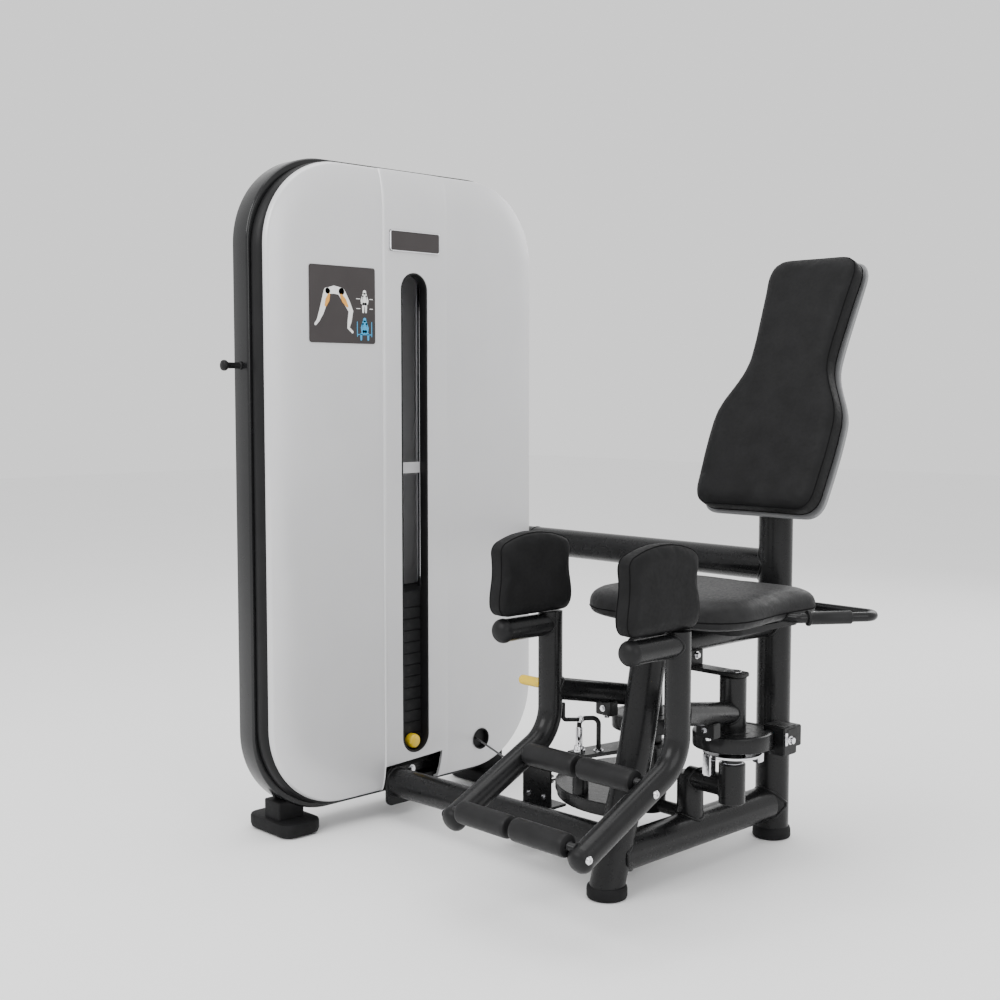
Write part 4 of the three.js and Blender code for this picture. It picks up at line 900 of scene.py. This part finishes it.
def seat_outline(inset, steps=12):
    wide, narrow, front, back = 204 - inset, 190 - inset, 99 + inset, 479 - inset
    half = [(0, front), ((wide - 107) / 2, front), (wide - 107, front)]
    half += bezier((wide - 107, front), (wide - 55, front), (wide - 2, front + 27), (wide, 200), steps=steps)
    half += bezier((wide, 200), (wide, 250), (narrow + 1.5, 300), (narrow + 1, 330), steps=steps)
    half += [(narrow, (330 + back - 48) / 2), (narrow, back - 48)]
    half += bezier((narrow, back - 48), (narrow, back), (narrow - 49, back), steps=steps)
    half += [((narrow - 49) / 2, back), (0, back)]
    return both_halves(half)


BACK_FRAME = Matrix(((-1, 0, 0, 0), (0, math.sin(TILT), math.cos(TILT), BACK_Y),
        (0, math.cos(TILT), -math.sin(TILT), BACK_Z), (0, 0, 0, 1)))


def back_outline(inset):
    bottom, top = -270 + inset, 343 - inset
    low, high, neck = 165 - inset, 118 - inset, 110 - inset
    half = [(0, bottom), ((low - 50) / 2, bottom), (low - 50, bottom)]
    half += bezier((low - 50, bottom), (low - 6, bottom), (low - 4, bottom + 48))
    half += bezier((low - 4, bottom + 48), (low + 1, bottom + 120), (low + 2, -110), (low, -60))
    half += bezier((low, -60), (low - 4, -5), (neck + 4, 30), (neck, 88))
    half += bezier((neck, 88), (neck - 2, 140), (high - 3, 220), (high, top - 48))
    half += bezier((high, top - 48), (high, top), (high - 46, top))
    half += [((high - 46) / 2, top), (0, top)]
    return both_halves(half)


def piping(name, pad, points, radius, body="frame", step=6.0):
    """A seam bead laid on the finished surface of a pad, following the loop of points."""
    surface = BVHTree.FromPolygons([v.co for v in pad.data.vertices], [f.vertices for f in pad.data.polygons])
    loop = [Vector(p) for p in points]
    bead = []
    for a, b in zip(loop, loop[1:] + loop[:1]):
        parts = max(1, math.ceil((b - a).length / step))
        for k in range(parts):
            spot, normal, _, _ = surface.find_nearest(a.lerp(b, k / parts) * MM)
            here = spot / MM + normal * radius * 0.15
            if not bead or (here - bead[-1]).length > 1.5:
                bead.append(here)
    if (bead[0] - bead[-1]).length < 1.5:
        bead.pop()
    bm = start()
    sweep(bm, bead, radius, 12, closed=True)
    return piece(name, bm, PIPING, body)


def pads():
    bm = start()
    rings = [(16, 537.5), (7, 540), (3.5, 546), (2.5, 556), (3, 568), (7, 578), (14, 584.5), (26, 588.3),
            (50, 590.6), (90, 592)]
    loft(bm, [(seat_outline(i), z) for i, z in rings])
    seat = piece("seat_pad", bm, SEAT_LEATHER, replaces=["seat_cushion"])
    inflate(seat, PAD_PRESSURE, 5.0, 6.0)
    piping("seat_seam", seat, [(x, y, 553) for x, y in seat_outline(1.6)], 1.3)
    bm = start()
    solid(bm, rounded_rect(-150, 150, 210, 450, 30, 8), 515.4, 531, bevel=2.5)
    solid(bm, rounded_rect(-149, 149, 211, 449, 30, 8), 530, 539, bevel=1)
    piece("seat_tray", bm, PLASTIC, replaces=["seat_board"])

    bm = start()
    rings = [(26, 1.0), (13, 2.4), (6, 6), (2.8, 12), (2.2, 22), (2.2, 40), (3.5, 48), (8, 51.6)]
    loft(bm, [(back_outline(i), d) for i, d in rings], BACK_FRAME)
    back = piece("back_pad", bm, LEATHER, replaces=["back_cushion"])
    inflate(back, PAD_PRESSURE, 4.0, 6.0)
    for name, inset, depth in (("front", 3.0, 7.5), ("rear", 0.8, 42)):
        piping(f"back_seam_{name}", back, [BACK_FRAME @ V(x, y, depth) for x, y in back_outline(inset)], 1.2)
    bm = start()
    rings = [(6, 52.2), (2, 52.6), (0.4, 55), (0.6, 59), (2.5, 62.4), (6, 64), (25, 65.1), (50, 65.5)]
    loft(bm, [(back_outline(i), d) for i, d in rings], BACK_FRAME)
    piece("back_cover", bm, SHELL, replaces=["back_shell"], angle=30)
    bm = start()
    for x, y in ((-60, -200), (60, -200), (-60, -60), (60, -60), (-50, 240), (50, 240)):
        at = BACK_FRAME @ V(x, y, 65.4)
        axis = BACK_FRAME.to_3x3() @ V(0, 0, 1)
        lathe(bm, [(0, 0), (8, 0), (8, 1.2), (5, 2.2), (2.6, 2.2), (2.6, 0.8), (0, 0.8)], at, axis, 28)
    piece("back_screws", bm, CHROME)


def handles():
    for name, side in (("left", 1), ("right", -1)):
        bm = start()
        corners = [(side * 16, 513, HANDLE_Z), (side * 314, 513, HANDLE_Z, 27),
                (side * 203, 355, HANDLE_Z, 12),
                (side * 153.5, 340.8, HANDLE_Z)]
        sweep(bm, bend_path(corners, 20), 10, 32, soft=0)
        piece(f"handle_bar_{name}", bm, PAINT, replaces=[f"handle_{name}"])
        front, back = V(side * 213, 369, HANDLE_Z), V(side * 267, 446, HANDLE_Z)
        axis = (back - front).normalized()
        length = (back - front).length
        bm = start()
        lathe(bm, [(10.3, 0), (15.6, 0), (16, 1), (16, 5), (14.6, 6.4), (13.6, 8), (13.6, length - 5),
                (13.9, length - 2), (12.6, length), (10.3, length), (10.3, 0)], front, axis, 48)
        piece(f"handle_grip_{name}", bm, GRIP, replaces=[f"grip_{name}"])


# ---------------------------------------------------------------- thigh arms
GRIPS = (("upper", -78.0, 278.0), ("lower", -259.0, 197.0))


def arm(name, side):
    body = f"arm_{name}"
    x = side * ARM_X
    hub_low = 269.4 if side > 0 else 133.7
    bm = start()
    tail = V(0, -256 - ARM_Y, 176 - 305).normalized()
    sweep(bm, bend_path([(x, ARM_Y, 555), (x, ARM_Y, 305, 85), (x, -256, 176)], 26), 25, 48, soft=0)
    sweep(bm, [(x, -122, 529), (x, ARM_Y, 529)], 23, 48, soft=0)
    sweep(bm, [(x, ARM_Y, 395), (side * PIVOT_X, PIVOT_Y, 348)], 23, 48, soft=0)
    lathe(bm, [(15.2, hub_low), (26, hub_low), (27.5, hub_low + 1.5), (27.5, 423.6), (26, 425), (15.2, 425),
            (15.2, hub_low)], (side * PIVOT_X, PIVOT_Y, 0), sides=48)
    block = sorted((side * 112, side * 156))
    box(bm, (block[0], 138, 322), (block[1], 162, 352), 2)
    for _, y, z in GRIPS:
        rod(bm, (side * (ARM_X - 6), y, z), (side * 10, y, z), 8, sides=24)
    weld(bm, (x, ARM_Y, 529), (0, 0, 1), (0, -1, 0), 25, 23, 2.4)
    lever = V(side * PIVOT_X - x, PIVOT_Y - ARM_Y, 348 - 395).normalized()
    weld(bm, (x, ARM_Y, 395), (0, 0, 1), lever, 25, 23, 2.6)
    weld(bm, (side * PIVOT_X, PIVOT_Y, 348), (0, 0, 1), -lever, 27.5, 23, 2.6)
    piece(f"arm_tubes_{name}", bm, PAINT, body, [f"arm_frame_{name}"])

    bm = start()
    dome = [(0, -6), (24.2, -6), (24.6, -4), (24.4, 1), (23, 6), (19.6, 11), (14, 14.6), (7.5, 16.4), (0, 17)]
    lathe(bm, dome, (x, -125, 529), (0, -1, 0), 48)
    lathe(bm, [(r * 1.04, h) for r, h in dome], (x, -256, 176), tail, 48)
    piece(f"arm_caps_{name}", bm, PLASTIC, body)

    bm = start()
    for _, y, z in GRIPS:
        lathe(bm, [(0, 0), (9.5, 0), (9.5, 1.5), (7, 3), (0, 3)], (side * 145.5, y, z), (-side, 0, 0), 32)
        lathe(bm, [(0, 0), (8, 0), (8, 2), (6, 4), (3, 4), (3, 2), (0, 2)], (side * 190.6, y, z - 14),
                (side, 0, 0), 28)
    bolt(bm, (side * 134, 150, 322), (0, 0, -1), 6, 5)
    bolt(bm, (side * 134, 138, 337), (0, -1, 0), 5, 4)
    piece(f"arm_fasteners_{name}", bm, CHROME, body)

    bm = start()
    lathe(bm, [(27.9, 281.2), (78, 281.2), (81, 282.6), (82, 285.5), (82, 309.5), (81, 312.6), (78, 314),
            (70, 314),
            (69, 313), (40, 313), (39, 314), (27.9, 314), (27.9, 281.2)], (side * PIVOT_X, PIVOT_Y, 0),
            sides=96)
    if side > 0:
        box(bm, (148, 314, 264), (200, 360, 324), 2.4)
    piece(f"range_disc_{name}", bm, PAINT, body, [f"cam_disc_{name}"])
    if side > 0:
        bm = start()
        lathe(bm, [(0, 0), (9, 0), (9, 4), (6.5, 5), (6.5, 11), (0, 11.5)], (200, 332, 296), (1, 0, 0), 32)
        box(bm, (199.5, 316, 286), (203, 324, 312), 0.8)
        piece("range_block_plunger", bm, CHROME, body)
        # Painted shade: a thin near-black plate on the stop block's end face stands in for the shadow of a
        # recess beside the plunger.
        bm = start()
        box(bm, (198, 326, 300), (201, 356, 318), 1)
        piece("range_block_painted_shade", bm, PAINTED_SHADE, body)

    for grip, y, z in GRIPS:
        bm = start()
        lathe(bm, [(8.7, 0), (17, 0), (20.6, 1.6), (22.2, 5), (22.5, 10), (22.5, 126), (22.2, 131),
                (20.6, 134.4),
                (17, 135.9), (8.7, 135.9), (8.7, 0)], (side * 5.5, y, z), (side, 0, 0), 56)
        node = f"foot_grip_{grip}_{name}"
        piece(f"{node}_sleeve", bm, GRIP, node, [node])

    thigh_pad(name, side, body)


def thigh_pad(name, side, body):
    def outline(inset):
        low, high, edge = 553.6 + inset, 727.5 - inset, 107.5 - inset
        half = [(0, low), (edge - 28, low)]
        half += bezier((edge - 28, low), (edge, low), (edge, low + 32), steps=9)
        half += bezier((edge, low + 32), (edge, low + 60), (edge - 8, low + 70), (edge - 5, high - 40),
                steps=9)
        half += bezier((edge - 5, high - 40), (edge - 3, high - 20), (edge - 28, high - 13), steps=9)
        half += bezier((edge - 28, high - 13), (edge - 62, high), (0, high), steps=9)
        return [(PAD_Y + y, z) for y, z in both_halves(half)]

    inner = 143.5 if side > 0 else -188.5
    profile = [(20, 1), (9, 2.4), (4, 6), (2.2, 12), (2.0, 22.5), (2.2, 33), (4, 39), (9, 42.6), (20, 44)]
    bm = start()
    loft(bm, [(outline(i), inner + d) for i, d in profile], ACROSS_X)
    pad = piece(f"thigh_cushion_{name}", bm, LEATHER, body, [f"thigh_pad_{name}"])
    inflate(pad, PAD_PRESSURE, 3.0, 4.0)
    for face, depth in (("a", 7.5), ("b", 37.5)):
        piping(f"thigh_seam_{name}_{face}", pad, [(inner + depth, y, z) for y, z in outline(1.4)], 1.1, body)


def right_arm_works():
    def sector(radius, steps=48):
        points = []
        for k in range(steps + 1):
            a = math.radians(118 + (290 - 118) * k / steps)
            points.append((-PIVOT_X + radius * math.cos(a), PIVOT_Y + radius * math.sin(a)))
        return points + [(-PIVOT_X + 10, PIVOT_Y + 30)]

    bm = start()
    solid(bm, sector(200), 134.4, 147, bevel=1)
    solid(bm, sector(204), 146.5, 163, bevel=2)
    lathe(bm, [(28, 134.4), (37.5, 134.4), (37.5, 175), (36, 177), (28, 177), (28, 134.4)],
            (-PIVOT_X, PIVOT_Y, 0))
    lathe(bm, [(0, 162), (17, 162), (17, 205), (15.6, 207.6), (12, 208), (0, 208)], (-146, 82, 0))
    piece("cam_plate", bm, PAINT, "arm_right", ["cable_cam"], angle=30)

    bm = start()
    strap = [(-76, 262), (-124, 72), (-176, 72), (-176, 100), (-148, 262)]
    solid(bm, strap, 242, 250, bevel=1.4)
    lathe(bm, [(28, 242), (40, 242), (40, 250), (28, 250), (28, 242)], (-PIVOT_X, PIVOT_Y, 0))
    sweep(bm, bend_path([(-156, 88, 298), (-156, 88, 320, 14), (-131, 121, 320, 14), (-131, 121, 248)], 10),
            5, 20)
    sweep(bm, bend_path([(-157, 40, 361), (-157, 40, 325, 10), (-155, 86, 318)], 8), 4.5, 20)
    piece("latch_bracket", bm, PAINT, "arm_right", ["range_latch"])
    bm = start()
    lathe(bm, [(0, 249.8), (13, 249.8), (13, 254), (10.5, 255), (10.5, 262), (7, 264), (7, 300), (5.5, 302),
            (0, 302)],
          (-156, 88, 0))
    lathe(bm, [(0, -8), (6, -5.5), (8, 0), (6, 5.5), (0, 8)], (-154, 90, 318))
    bolt(bm, (-131, 121, 250), (0, 0, 1), 8, 3)
    piece("latch_hardware", bm, CHROME, "arm_right")

    bm = start()
    lathe(bm, [(0, 0), (8.4, 0), (9, 1.4), (9, 4), (10, 6), (10.5, 12), (10.5, 50), (9.6, 57), (6.5, 60.4),
            (0, 61)],
          (-192.8, ARM_Y, 400), (-1, 0, 0), 40)
    piece("start_pin_knob", bm, YELLOW, "start_pin", ["start_pin"])

    bm = start()
    lathe(bm, [(15, 263.4), (59, 263.4), (60, 264.4), (60, 268), (59, 268.9), (15, 268.9), (15, 263.4)],
          (PIVOT_X, PIVOT_Y, 0), sides=72)
    box(bm, (66.4, 217.4, 218.4), (88.6, 238.6, 266), 3)
    box(bm, (138.4, 290.4, 246.4), (155.6, 309.6, 267), 2)
    lathe(bm, [(0, 0), (22, 0), (23, 0.8), (22, 1.8), (0, 1.8)], (PIVOT_X, PIVOT_Y, 245))
    piece("range_ring", bm, CHROME, replaces=["lock_ring"])


# ---------------------------------------------------------------- build
camera_and_stage()
tower()
works()
welded_frame()
pads()
handles()
arm("left", 1)
arm("right", -1)
right_arm_works()
for node, mat in (("top_bracket", PAINT), ("tower_floor_beam", PAINT), ("stack_bumper", RUBBER)):
    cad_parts[node].data.materials.clear()
    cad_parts[node].data.materials.append(mat)
